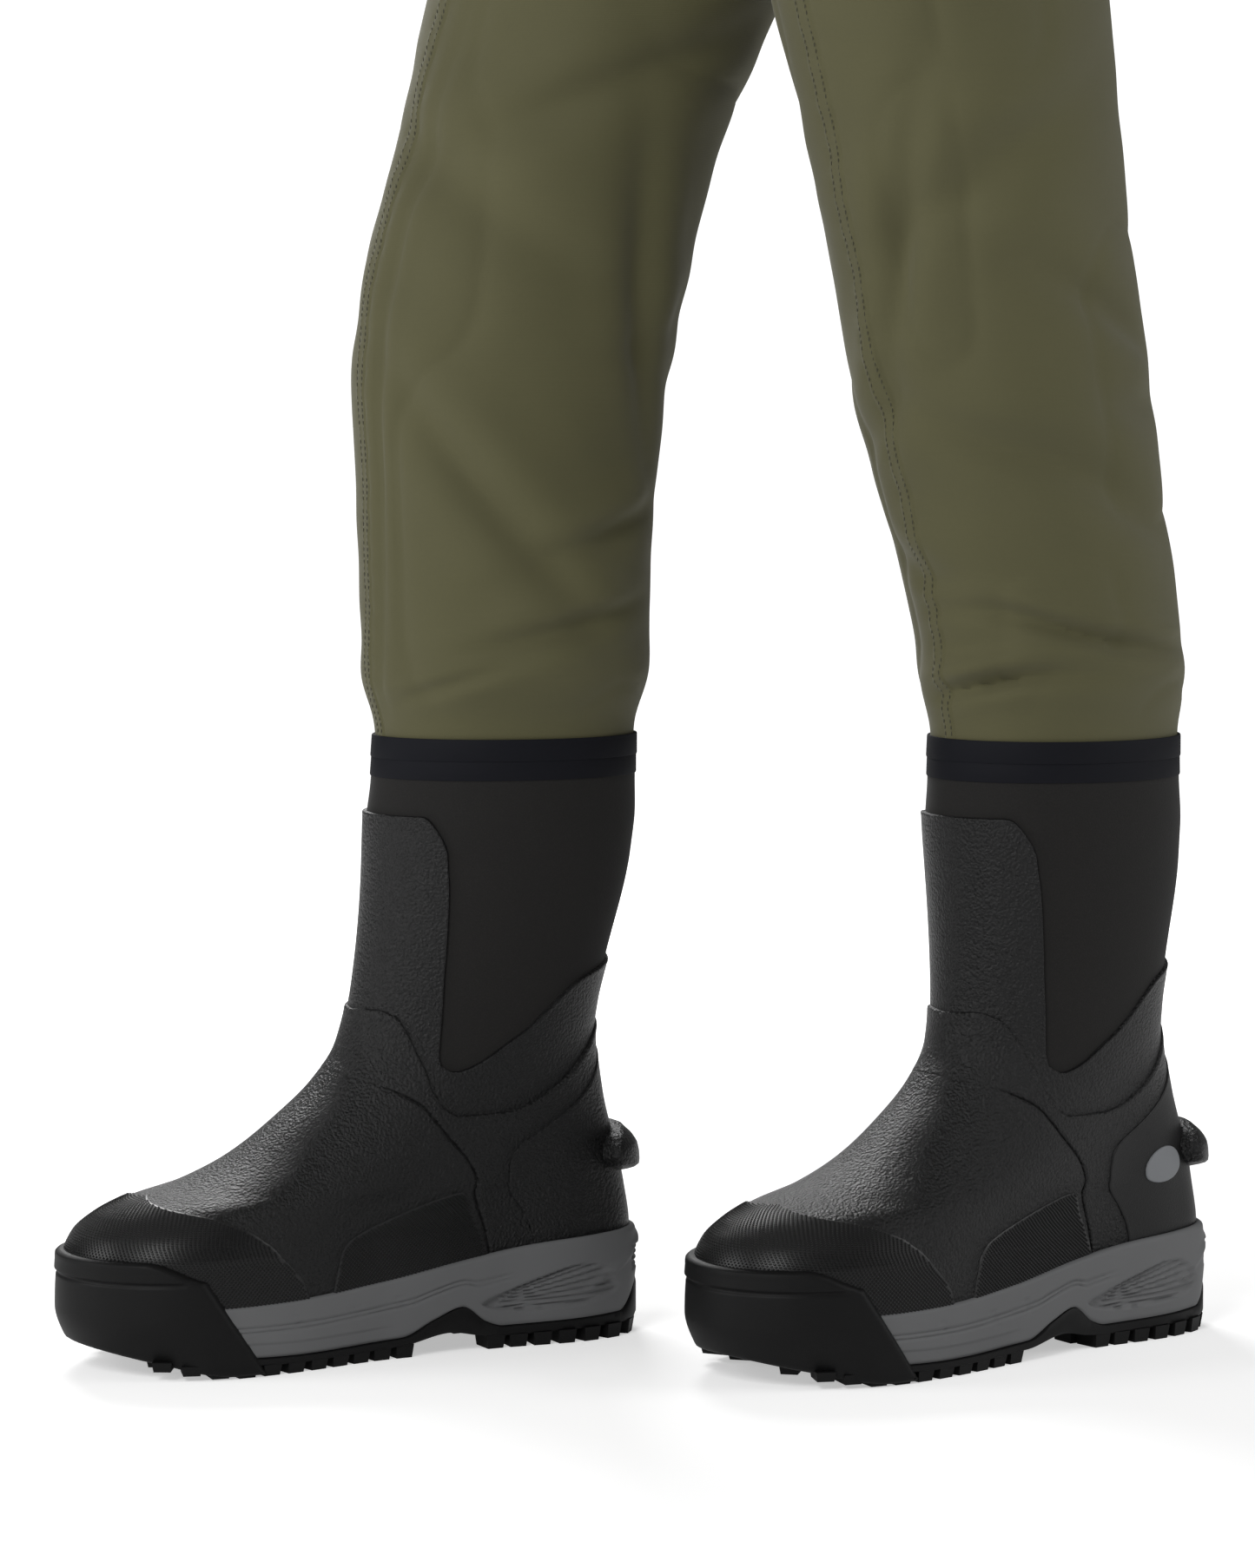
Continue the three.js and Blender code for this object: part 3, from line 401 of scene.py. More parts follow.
finishes = {
    "cloth": madeCloth("oliveCloth", (0.106, 0.1, 0.0455), (0.081, 0.0765, 0.0345)),
    "hem_binding": madeCloth("oliveBinding", (0.082, 0.076, 0.04), (0.06, 0.055, 0.029)),
    "webbing": madeWebbing("blackWebbing", (0.026, 0.026, 0.028), (0.008, 0.008, 0.009)),
    "zip_tape": madeWebbing("zipTape", (0.022, 0.022, 0.024), (0.007, 0.007, 0.008), 0.9),
    "thread": madeWebbing("oliveThread", (0.072, 0.068, 0.038), (0.03, 0.028, 0.016), 0.6),
    "blackThread": madeWebbing("blackThread", (0.06, 0.06, 0.062), (0.02, 0.02, 0.02), 0.6),
    "cuff_tape": madeSmoothRubber(
        "cuffTape", (0.0045, 0.0048, 0.0075), (0.0065, 0.007, 0.0105), 0.62, 0.05, 0.16),
    "neoprene": madeNeoprene("neoprene"),
    "rubber": madeRubber("pebbledRubber", (0.0055, 0.0055, 0.0057), (0.0095, 0.0095, 0.0097), 1.5, 1.0, 0.24),
    "rubber_smooth": madeRubber(
        "satinRubber", (0.0052, 0.0052, 0.0054), (0.008, 0.008, 0.0082), 0.8, 0.12, 0.34),
    "knurl": madeSmoothRubber(
        "knurledRubber", (0.0095, 0.0095, 0.0097), (0.0135, 0.0135, 0.0138), 0.3, 0.05, 0.45),
    "midsole_foam": madeSmoothRubber("greyFoam", (0.125, 0.127, 0.13), (0.15, 0.152, 0.155), 0.55, 0.09),
    "sole_rubber": madeSmoothRubber(
        "blackSole", (0.0035, 0.0035, 0.0037), (0.006, 0.006, 0.0062), 0.44, 0.08, 0.2),
    "badge": madeSmoothRubber("greyBadge", (0.19, 0.198, 0.21), (0.22, 0.228, 0.24), 0.5),
    "board": madeSmoothRubber("fibreBoard", (0.16, 0.15, 0.13), (0.24, 0.23, 0.2), 0.8, 0.3),
    "footbed": madeNeoprene("footbedFelt"),
    "shank_steel": madeMetal("shankSteel", (0.5, 0.5, 0.5), 0.25),
    "buckle_plastic": madeSmoothRubber("acetal", (0.013, 0.013, 0.0135), (0.02, 0.02, 0.0205), 0.36, 0.06),
}
print("materials ready")


def makePiece(name, points, faces, finish, sharp=35):
    mesh = bpy.data.meshes.new(name)
    points = np.asarray(points, float) * mm
    faces = [list(face) for face in faces]
    first = np.array([face[:3] for face in faces])
    a, b, c = (points[first[:, i]] for i in range(3))
    last = np.array([[f[0], f[2], f[3]] for f in faces if len(f) == 4] or [[0, 0, 0]])
    p, q, r = (points[last[:, i]] for i in range(3))
    volume = (a * np.cross(b, c)).sum() + (p * np.cross(q, r)).sum()
    if volume < 0:
        faces = [face[::-1] for face in faces]
    mesh.from_pydata([tuple(p) for p in points], [], faces)
    mesh.validate()
    mesh.shade_smooth()
    mesh.set_sharp_from_angle(angle=math.radians(sharp))
    mesh.materials.append(finishes[finish])
    obj = bpy.data.objects.new(name, mesh)
    bpy.context.scene.collection.objects.link(obj)
    return obj


def gridFaces(rows, columns, closedRows=False):
    faces = []
    for i in range(rows if closedRows else rows - 1):
        low, high = i * columns, ((i + 1) % rows) * columns
        for j in range(columns):
            k = (j + 1) % columns
            faces.append([low + j, low + k, high + k, high + j])
    return faces


def looped(name, rings, finish, sharp=35):  # a skin that closes on itself both ways
    rings = np.asarray(rings)
    return makePiece(name, rings.reshape(-1, 3), gridFaces(len(rings), rings.shape[1], True), finish, sharp)


def capped(name, rings, finish, sharp=35):  # a stack of rings with a fan at each end
    rings = np.asarray(rings)
    count = rings.shape[1]
    points = np.vstack([rings.reshape(-1, 3), rings[0].mean(0), rings[-1].mean(0)])
    faces = gridFaces(len(rings), count)
    low, high = len(points) - 2, len(points) - 1
    top = (len(rings) - 1) * count
    for j in range(count):
        k = (j + 1) % count
        faces += [[low, k, j], [high, top + j, top + k]]
    return makePiece(name, points, faces, finish, sharp)


def cutAt(places, field, triangles, level, snap):
    # splits the triangles along one level of the field, and keeps both sides
    places, field = list(map(tuple, places)), [float(value) for value in field]
    for i, value in enumerate(field):
        if abs(value - level) < snap:
            field[i] = level
    cuts, kept = {}, []

    def cut(a, b):
        key = (min(a, b), max(a, b))
        if key not in cuts:
            t = (level - field[a]) / (field[b] - field[a])
            places.append(tuple(mix(p, q, t) for p, q in zip(places[a], places[b])))
            field.append(level)
            cuts[key] = len(places) - 1
        return cuts[key]

    for tri in triangles:
        side = [(field[v] > level) - (field[v] < level) for v in tri]
        if 1 not in side or -1 not in side:
            kept.append(tri)
            continue
        a, b, c = tri
        if 0 in side:
            i = side.index(0)
            a, b, c = tri[i], tri[(i + 1) % 3], tri[(i + 2) % 3]
            m = cut(b, c)
            kept += [(a, b, m), (a, m, c)]
            continue
        lone = side.index(1) if side.count(1) == 1 else side.index(-1)
        a, b, c = tri[lone], tri[(lone + 1) % 3], tri[(lone + 2) % 3]
        m, n = cut(a, b), cut(a, c)
        kept += [(a, m, n), (m, b, c), (m, c, n)]
    return np.array(places), np.array(field), kept


def panelOn(name, skin, turns, heights, fieldAt, profile, back, finish, sharp=40):
    # a raised panel on a skin: the field is about the distance in mm inside its edge,
    # and the profile gives the panel's height over the skin against that distance
    zGrid = np.array([heights for _ in turns]) if np.ndim(heights) == 1 else heights
    turnGrid = np.repeat(np.asarray(turns)[:, None], zGrid.shape[1], axis=1)
    columns = zGrid.shape[1]
    turnFlat, zFlat = turnGrid.ravel(), zGrid.ravel()
    value = fieldAt(turnFlat, zFlat)
    slope = surfaceSlope(skin, fieldAt, turnFlat, zFlat)
    field = value / np.maximum(slope, 1e-6)
    field = np.clip(field, -30, 30)
    triangles = []
    inside = field.reshape(zGrid.shape)
    for i in range(len(turns) - 1):
        for j in range(columns - 1):
            if max(inside[i, j], inside[i + 1, j], inside[i, j + 1], inside[i + 1, j + 1]) < 0:
                continue
            a, b = i * columns + j, (i + 1) * columns + j
            if (i + j) % 2:
                triangles += [(a, b, b + 1), (a, b + 1, a + 1)]
            else:
                triangles += [(a, b, a + 1), (b, b + 1, a + 1)]
    places = np.stack([turnFlat, zFlat], 1)
    for level, _ in profile:
        places, field, triangles = cutAt(places, field, triangles, level, 0.12)
    triangles = [t for t in triangles if min(field[v] for v in t) >= -1e-9]
    # the same places either side of the back seam become one
    keys = {}
    same = np.zeros(len(places), int)
    for i, (turn, z) in enumerate(places):
        same[i] = keys.setdefault((round(math.cos(turn), 7), round(math.sin(turn), 7), round(z, 5)), i)
    triangles = [tuple(int(same[v]) for v in t) for t in triangles]
    triangles = [t for t in triangles if len(set(t)) == 3]
    used = sorted({v for t in triangles for v in t})
    index = {v: i for i, v in enumerate(used)}
    triangles = [tuple(index[v] for v in t) for t in triangles]
    turn, z, depth = places[used, 0], places[used, 1], field[used]
    lift = np.interp(depth, [p[0] for p in profile], [p[1] for p in profile])
    outer = skin(turn, z, lift)
    inner = skin(turn, z, np.full(len(turn), float(back)))
    count = len(used)
    edges = {}
    for t in triangles:
        for a, b in ((t[0], t[1]), (t[1], t[2]), (t[2], t[0])):
            edges[(a, b)] = True
    faces = list(triangles) + [(a + count, c + count, b + count) for a, b, c in triangles]
    faces += [(b, a, a + count, b + count) for a, b in edges if (b, a) not in edges]
    return makePiece(name, np.vstack([outer, inner]), faces, finish, sharp)


def surfaceSlope(skin, fieldAt, turn, z):  # how fast the field grows per mm along the skin
    zero = np.zeros(len(turn))
    stepTurn, stepZ = 0.01, 0.5
    alongTurn = (skin(turn + stepTurn, z, zero) - skin(turn - stepTurn, z, zero)) / (2 * stepTurn)
    alongZ = (skin(turn, z + stepZ, zero) - skin(turn, z - stepZ, zero)) / (2 * stepZ)
    growTurn = (fieldAt(turn + stepTurn, z) - fieldAt(turn - stepTurn, z)) / (2 * stepTurn)
    growZ = (fieldAt(turn, z + stepZ) - fieldAt(turn, z - stepZ)) / (2 * stepZ)
    e, f, g = (alongTurn ** 2).sum(1), (alongTurn * alongZ).sum(1), (alongZ ** 2).sum(1)
    area = np.maximum(e * g - f * f, 1e-6)
    return np.sqrt(np.maximum((g * growTurn ** 2 - 2 * f * growTurn * growZ + e * growZ ** 2) / area, 1e-9))


def insideOutline(outline, x, y):  # signed distance to a closed outline, positive inside
    outline = np.asarray(outline, float)
    best = np.full(np.shape(x), 1e9)
    inside = np.zeros(np.shape(x), bool)
    for (ax, ay), (bx, by) in zip(outline, np.roll(outline, -1, axis=0)):
        dx, dy = bx - ax, by - ay
        t = np.clip(((x - ax) * dx + (y - ay) * dy) / (dx * dx + dy * dy), 0, 1)
        best = np.minimum(best, np.hypot(x - ax - t * dx, y - ay - t * dy))
        crosses = (ay > y) != (by > y)
        inside ^= crosses & (x < (bx - ax) * (y - ay) / np.where(by == ay, 1e-9, by - ay) + ax)
    return np.where(inside, best, -best)


def roundedOutline(corners, turns=3):  # cuts the corners, a little more each time
    points = np.asarray(corners, float)
    for _ in range(turns):
        after = np.roll(points, -1, axis=0)
        points = np.stack([mix(points, after, 0.25), mix(points, after, 0.75)], 1).reshape(-1, 2)
    return points


def setOnPoints(name, spots, shape, size, finish, bevelTop=0.6):
    # spots: (place, outward, along) in millimetres; shape is "stitch", "diamond" or "block"
    places = np.array([s[0] for s in spots], float) * mm
    mesh = bpy.data.meshes.new(name + "Spots")
    mesh.from_pydata([tuple(p) for p in places], [], [])
    for label, column in (("outward", 1), ("along", 2)):
        layer = mesh.attributes.new(label, "FLOAT_VECTOR", "POINT")
        layer.data.foreach_set("vector", np.array([s[column] for s in spots], np.float32).ravel())
    obj = bpy.data.objects.new(name, mesh)
    bpy.context.scene.collection.objects.link(obj)
    tree = bpy.data.node_groups.new(name, "GeometryNodeTree")
    tree.interface.new_socket("Geometry", in_out="INPUT", socket_type="NodeSocketGeometry")
    sizeInput = tree.interface.new_socket("Size", in_out="INPUT", socket_type="NodeSocketVector")
    tree.interface.new_socket("Geometry", in_out="OUTPUT", socket_type="NodeSocketGeometry")
    new, link = tree.nodes.new, tree.links.new
    start, end = new("NodeGroupInput"), new("NodeGroupOutput")
    if shape == "stitch":
        part = new("GeometryNodeMeshUVSphere")
        part.inputs["Segments"].default_value = 6
        part.inputs["Rings"].default_value = 5
        part.inputs["Radius"].default_value = 0.5
    elif shape == "diamond":
        part = new("GeometryNodeMeshCone")
        part.inputs["Vertices"].default_value = 4
        part.inputs["Radius Top"].default_value = 0.16
        part.inputs["Radius Bottom"].default_value = 0.5
        part.inputs["Depth"].default_value = 1.0
    else:
        part = new("GeometryNodeMeshCone")
        part.inputs["Vertices"].default_value = 4
        part.inputs["Radius Top"].default_value = math.sqrt(0.5) * bevelTop
        part.inputs["Radius Bottom"].default_value = math.sqrt(0.5)
        part.inputs["Depth"].default_value = 1.0
    meshOut = part.outputs["Mesh"]
    if shape == "block":
        squared = new("GeometryNodeTransform")
        link(meshOut, squared.inputs["Geometry"])
        squared.inputs["Rotation"].default_value = (0, 0, math.pi / 4)
        meshOut = squared.outputs["Geometry"]
    vectors = []
    for label in ("outward", "along"):
        read = new("GeometryNodeInputNamedAttribute")
        read.data_type = "FLOAT_VECTOR"
        read.inputs["Name"].default_value = label
        vectors.append(read.outputs["Attribute"])
    facing = new("FunctionNodeAlignRotationToVector")
    facing.axis = "Z"
    link(vectors[0], facing.inputs["Vector"])
    turned = new("FunctionNodeAlignRotationToVector")
    turned.axis = "X"
    turned.pivot_axis = "Z"
    link(facing.outputs["Rotation"], turned.inputs["Rotation"])
    link(vectors[1], turned.inputs["Vector"])
    setter = new("GeometryNodeInstanceOnPoints")
    link(start.outputs["Geometry"], setter.inputs["Points"])
    link(meshOut, setter.inputs["Instance"])
    link(turned.outputs["Rotation"], setter.inputs["Rotation"])
    link(start.outputs["Size"], setter.inputs["Scale"])
    real, paint = new("GeometryNodeRealizeInstances"), new("GeometryNodeSetMaterial")
    paint.inputs["Material"].default_value = finishes[finish]
    link(setter.outputs["Instances"], real.inputs["Geometry"])
    link(real.outputs["Geometry"], paint.inputs["Geometry"])
    link(paint.outputs["Geometry"], end.inputs["Geometry"])
    modifier = obj.modifiers.new("set", "NODES")
    modifier.node_group = tree
    modifier[sizeInput.identifier] = tuple(v * mm for v in size)
    dg = bpy.context.evaluated_depsgraph_get()
    result = bpy.data.meshes.new_from_object(obj.evaluated_get(dg))
    obj.modifiers.remove(modifier)
    obj.data = result
    result.shade_smooth()
    result.set_sharp_from_angle(angle=math.radians(30))
    return obj


def unit(v):
    v = np.asarray(v, float)
    return v / np.linalg.norm(v, axis=-1, keepdims=True)


def alongPath(points, pitch):  # evenly spaced places and directions on a polyline
    points = np.asarray(points, float)
    steps = np.linalg.norm(np.diff(points, axis=0), axis=1)
    run = np.concatenate([[0], np.cumsum(steps)])
    marks = np.arange(pitch / 2, run[-1], pitch)
    places = np.stack([np.interp(marks, run, points[:, i]) for i in range(3)], 1)
    ahead = np.stack([np.interp(marks + 0.5, run, points[:, i]) for i in range(3)], 1)
    behind = np.stack([np.interp(marks - 0.5, run, points[:, i]) for i in range(3)], 1)
    return places, unit(ahead - behind)


boot = {
    "toeX": 314, "heelX": 5, "tapeTop": 320, "shinTop": 281, "notchBottom": 148, "backTop": 203,
    "rubber": 3, "neoprene": 5, "layerGap": 1.3, "soleFront": 316.5, "soleBack": 1, "overhang": 3,
    "restAhead": 50,  # from the heel to the middle of the heel's rest
}
stance = {
    "right": {"toeOut": 4.8, "lean": 0, "medial": 1},
    "left": {"toeOut": 5.5, "lean": 22, "medial": -1},
}
for sideName, side in stance.items():
    heading = math.radians(-90 - side["toeOut"] * side["medial"])
    rest = next(m for m in frame["record"]["mounts"] if m["name"] == sideName + "_heel_rest")["pos_m"]
    side["forward"] = np.array([math.cos(heading), math.sin(heading)])
    side["heel"] = np.array(rest[:2]) / mm - boot["restAhead"] * side["forward"]
    side["name"] = sideName
designOrigin = stance["right"]["heel"]

frontAt = curveThrough([(z, boot["toeX"] - inset) for z, inset in (
    (30, 2), (58, 0), (68, 4), (76, 14), (83, 30), (90, 58), (102, 86), (120, 112), (140, 135), (158, 148),
    (190, 157), (240, 163), (281, 165), (320, 168))])
backAt = curveThrough([(z, boot["heelX"] + inset) for z, inset in (
    (30, 0), (57, 0), (80, 3), (100, 8), (130, 15), (157, 18), (176, 16), (201, 10), (257, -4), (300, -8),
    (320, -8))])
shaftHalfAt = curveThrough([
    (60, 40), (100, 41), (130, 42), (160, 45), (200, 51), (250, 57), (300, 60), (320, 60)])
medialHalfAt = curveThrough([(0, 78), (0.1, 73), (0.3, 56), (0.5, 41), (0.7, 38), (0.9, 54), (1, 74)])
lateralHalfAt = curveThrough([(0, 78), (0.1, 70), (0.3, 59), (0.5, 47), (0.7, 40), (0.9, 54), (1, 74)])
footShareAt = curveThrough([(60, 1), (90, 0.72), (120, 0.34), (160, 0)])
soleTopAt = curveThrough([(0, 57), (60, 54), (110, 48), (160, 41), (210, 37), (260, 36), (316.5, 40)])
foamBottomAt = curveThrough([
    (0, 33), (8, 25), (20, 13.5), (90, 12), (100, 15), (114, 24), (130, 19), (150, 11), (205, 9), (260, 11),
    (316.5, 24)])
treadBottomAt = curveThrough([
    (0, 7.5), (90, 6.5), (104, 8), (122, 11), (150, 6.5), (205, 5), (260, 6.5), (316.5, 18)])
springAt = curveThrough([(0, 0), (245, 0), (270, 3), (290, 7), (316.5, 14)])
rubberTopAt = curveThrough([
    (0, boot["shinTop"]), (36, boot["shinTop"]), (48, boot["shinTop"] - 14), (58, boot["notchBottom"] + 40),
    (66, boot["notchBottom"] + 4), (74, boot["notchBottom"]), (96, boot["notchBottom"] + 16),
    (128, boot["backTop"] - 10), (180, boot["backTop"])])


def degreesOf(turn):  # 0 at the toe to 180 at the heel, either side
    return np.degrees(np.abs((np.asarray(turn) + np.pi) % (2 * np.pi) - np.pi))


def footHalf(turn):
    along = (1 - np.cos(turn)) / 2
    half = np.where(np.sin(turn) >= 0, medialHalfAt(along), lateralHalfAt(along))
    return half * np.sin(turn)


def toRow(side, x, y, z):  # from a boot's own forward, across and up
    y = y * side["medial"]
    fx, fy = side["forward"]
    return np.stack([side["heel"][0] + fx * x - fy * y, side["heel"][1] + fy * x + fx * y, z + 0 * x], -1)


def bootSkin(side):
    def base(turn, z):
        along = (1 - np.cos(turn)) / 2
        share = footShareAt(z)
        x = mix(frontAt(z), backAt(z), along) + side["lean"] * smooth((z - 90) / 230)
        toeWide = 1 + 0.085 * np.maximum(np.cos(turn), 0) * smooth((88 - z) / 26)
        y = mix(shaftHalfAt(z) * np.sin(turn), footHalf(turn) * toeWide, share)
        return toRow(side, x, y, z)

    def skin(turn, z, off):
        around = base(turn + 0.02, z) - base(turn - 0.02, z)
        up = base(turn, z + 0.6) - base(turn, z - 0.6)
        normal = unit(np.cross(around, up)) * side["medial"]
        return base(turn, z) + normal * np.asarray(off)[..., None]

    return skin


def soleEdge(turn, grow):
    along = (1 - np.cos(turn)) / 2
    x = mix(boot["soleFront"] + grow, boot["soleBack"] - grow, along)
    y = footHalf(turn) * (1 + 0.1 * np.abs(np.cos(turn))) + (boot["overhang"] + grow) * np.sin(turn)
    return x, y


def soleWall(side):  # the upright wall round the sole
    def skin(turn, z, off):
        x, y = soleEdge(turn, np.asarray(off))
        return toRow(side, x, y, z)
    return skin


def heightsFrom(low, high, step):  # spaced evenly along the instep's slope
    z = np.linspace(low, high, 1200)
    run = np.concatenate([[0], np.cumsum(np.hypot(np.diff(z), np.diff(frontAt(z)) * 0.8))])
    return np.interp(np.linspace(0, run[-1], int(run[-1] / step) + 1), run, z)


def bootGrid(columns, step, sink):
    turns = np.linspace(-np.pi, np.pi, columns + 1)
    rows = heightsFrom(36, boot["tapeTop"], step)
    edgeX, _ = soleEdge(turns, 0)
    lift = soleTopAt(edgeX)[:, None] - sink - 36
    return turns, rows[None, :] + lift * (1 - smooth((rows[None, :] - 36) / 75))


def rubberTop(turn):
    return rubberTopAt(degreesOf(turn))


ridgeAt = curveThrough([(0, 179), (24, 180), (36, 177), (45, 169), (54, 157), (62, 147), (69, 137), (76, 130),
                        (85, 125), (100, 125), (108, 127), (118, 133), (128, 141), (140, 151), (162, 165),
                        (180, 170)])
creaseHalf = [(114, 20), (114, 50), (112, 70), (106, 86), (95, 102), (85, 113), (76, 123), (65, 133),
              (45, 141), (20, 145)]
creaseOutline = [(-d, z) for d, z in creaseHalf] + [(0, 146)] + creaseHalf[::-1]
heelHalf = [(126, 20), (125, 57), (122, 72), (116, 83), (110.5, 94), (109, 106), (118, 114), (137, 129),
            (163, 149)]
heelOutline = heelHalf + [(180, 157)] + [(360 - d, z) for d, z in heelHalf[::-1]]
toeCapTopAt = curveThrough([(0, 86), (25, 83), (43, 80), (56, 74), (63, 67), (68, 57), (72, 44), (73.5, 30)])
sidePanelOutline = [(76, 20), (79.5, 50), (81, 63), (84, 68), (99, 84), (104, 85), (107.5, 78), (111, 66),
                    (114, 50), (114.5, 20)]


def bootParts(side):
    name, body = side["name"], side["name"] + "_lower_leg_and_boot"
    skin = bootSkin(side)
    raised = lambda extra: lambda turn, z, off: skin(turn, z, np.asarray(off) + extra)
    turns, rows = bootGrid(150, 2.6, 5)
    fine, fineRows = bootGrid(220, 1.7, 5)
    made = {}
    crease = roundedOutline(creaseOutline, 3)

    # moulded shell, with a bead along its top edge
    made["rubberShell"] = panelOn(
        name + "RubberShell", skin, turns, rows, lambda t, z: rubberTop(t) - z,
        [(0, -1.6), (0.3, -0.1), (0.8, 0.14), (1.5, 0.14), (2.4, 0)], -boot["rubber"], "rubber")
    made["quarter"] = panelOn(
        name + "Quarter", skin, turns, rows,
        lambda t, z: np.minimum(ridgeAt(degreesOf(t)) - z, -insideOutline(
            crease, ((np.degrees(t) + 180) % 360) - 180, z) - 0.2),
        [(0, -0.2), (0.3, 0.75), (0.8, 1.2), (2.0, 1.42), (5.0, 1.3)], -1.0, "rubber")
    made["vamp"] = panelOn(
        name + "Vamp", skin, turns, rows,
        lambda t, z: insideOutline(crease, np.degrees(t), z) + 1.9 * smooth((58 - degreesOf(t)) / 22),
        [(0, -0.2), (0.3, 0.7), (0.8, 1.1), (2.0, 1.28)], -1.0, "rubber")
    heelField = lambda t, z: insideOutline(roundedOutline(heelOutline, 2), np.degrees(t) % 360, z)
    made["heelPanel"] = panelOn(
        name + "HeelPanel", raised(1.2), turns, rows, heelField,
        [(0, -0.3), (0.3, 0.55), (0.9, 0.85), (1.6, 0.8)], -0.8,
        "rubber_smooth" if side["medial"] < 0 else "rubber")
    capField = lambda t, z: (toeCapTopAt(degreesOf(t)) - z) * np.where(degreesOf(t) < 90, 1, -1)
    made["toeCap"] = panelOn(
        name + "ToeCap", raised(1.2), fine[(np.abs(fine) < 1.4)], fineRows[(np.abs(fine) < 1.4)], capField,
        [(0, -0.3), (0.3, 0.5), (0.9, 0.75), (1.5, 0.7)], -0.8, "knurl")
    for label, sign in (("medial", 1), ("lateral", -1)):
        outline = roundedOutline([(sign * d, z) for d, z in sidePanelOutline], 2)
        near = (np.abs(fine * sign - 1.66) < 0.5)
        made[label + "Panel"] = panelOn(
            name + label.title() + "Panel", raised(1.2), fine[near], fineRows[near],
            lambda t, z, o=outline: insideOutline(o, np.degrees(t), z),
            [(0, -0.3), (0.3, 0.45), (0.9, 0.7), (1.5, 0.65)], -0.8, "knurl")

    # step to hold the boot by while pulling it off
    spur = roundedOutline([(147, 85), (150, 110), (210, 110), (213, 85)], 2)
    ledgeAt = curveThrough([(84, 0.7), (88, 0.95), (97, 1.0), (102, 0.88), (107, 0.64), (111, 0.5)])
    ledge = lambda t, z, off: skin(t, z, 1.6 + np.asarray(off) * ledgeAt(z))
    around = np.linspace(np.radians(140), np.radians(220), 60)
    made["kickSpur"] = panelOn(
        name + "KickSpur", ledge, around, np.linspace(80, 116, 40),
        lambda t, z: insideOutline(spur, np.degrees(t), z),
        [(0, -1.0), (0.4, 6.0), (0.9, 9.6), (1.8, 11.2), (4.0, 11.7), (8.0, 12.1)], -1.5, "rubber", 50)
    made["heelBadge"] = panelOn(
        name + "HeelBadge", raised(2.0), np.linspace(np.radians(205), np.radians(240), 50),
        np.linspace(78, 106, 40),
        lambda t, z: 10 - 10 * np.hypot((np.degrees(t) - 224) / 9.5, (z - 92) / 9.5),
        [(0, -0.3), (0.25, 0.7), (0.8, 1.05), (1.5, 1.1)], -0.5, "badge")

    # neoprene sock's shaft
    linerOff = -boot["rubber"] - boot["layerGap"]
    around = np.linspace(0, 2 * np.pi, 144, endpoint=False)
    levels = np.linspace(125, boot["tapeTop"] - 9, 60)
    outer = [skin(around, np.full(144, z), np.full(144, mix(-1.9, -3.4, float(smooth((z - 272) / 26)))))
             for z in levels]
    inner = [skin(around, np.full(144, z), np.full(144, linerOff - boot["neoprene"])) for z in levels[::-1]]
    made["liner"] = looped(name + "Neoprene", outer + inner, "neoprene")

    # two overlapping bands of bonded tape
    for label, low, high, off in (("upper", 309.3, 320.6, -2.3), ("lower", 299.4, 310.2, -2.75)):
        section = [(low, off - 1.5), (low, off - 0.2), (low + 0.6, off),
                   (high - 0.6, off), (high, off - 0.25), (high, off - 1.5)]
        rings = [skin(around, z + 0.5 * np.sin(around + 1), np.full(144, o)) for z, o in section]
        made[label + "Tape"] = looped(name + label.title() + "Tape", rings, "cuff_tape")

    made.update(soleParts(side))
    for piece in made.values():
        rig.ride(piece, body)
    covers = {"rubberShell": "rubber_shell", "toeCap": "toe_cap", "medialPanel": "medial_side_panel",
              "lateralPanel": "lateral_side_panel", "heelPanel": "heel_counter", "kickSpur": "kick_spur",
              "heelBadge": "heel_badge", "liner": "neoprene_liner", "midsole": "midsole", "tread": "outsole",
              "bumper": "toe_bumper", "upperTape": "cuff_tape"}
    for label, node in covers.items():
        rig.replaces(made[label], f"{name}_{node}")
    slots = {"quarter": "rubber", "vamp": "rubber", "lowerTape": "cuff_tape", "toeCapKnurl": "rubber",
             "medialKnurl": "rubber", "lateralKnurl": "rubber", "lugs": "sole_rubber"}
    for label, slotName in slots.items():
        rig.slot(made[label], slotName)
    print(name, "boot ready")


sole = {"columns": 420, "rows": 46, "grooveDepth": 0.9}
recessOutline = [(106, 24), (86, 31), (66, 37.5), (46, 42.5), (34, 40.5), (25, 33), (20, 25), (40, 20),
                 (70, 18.5), (92, 20)]


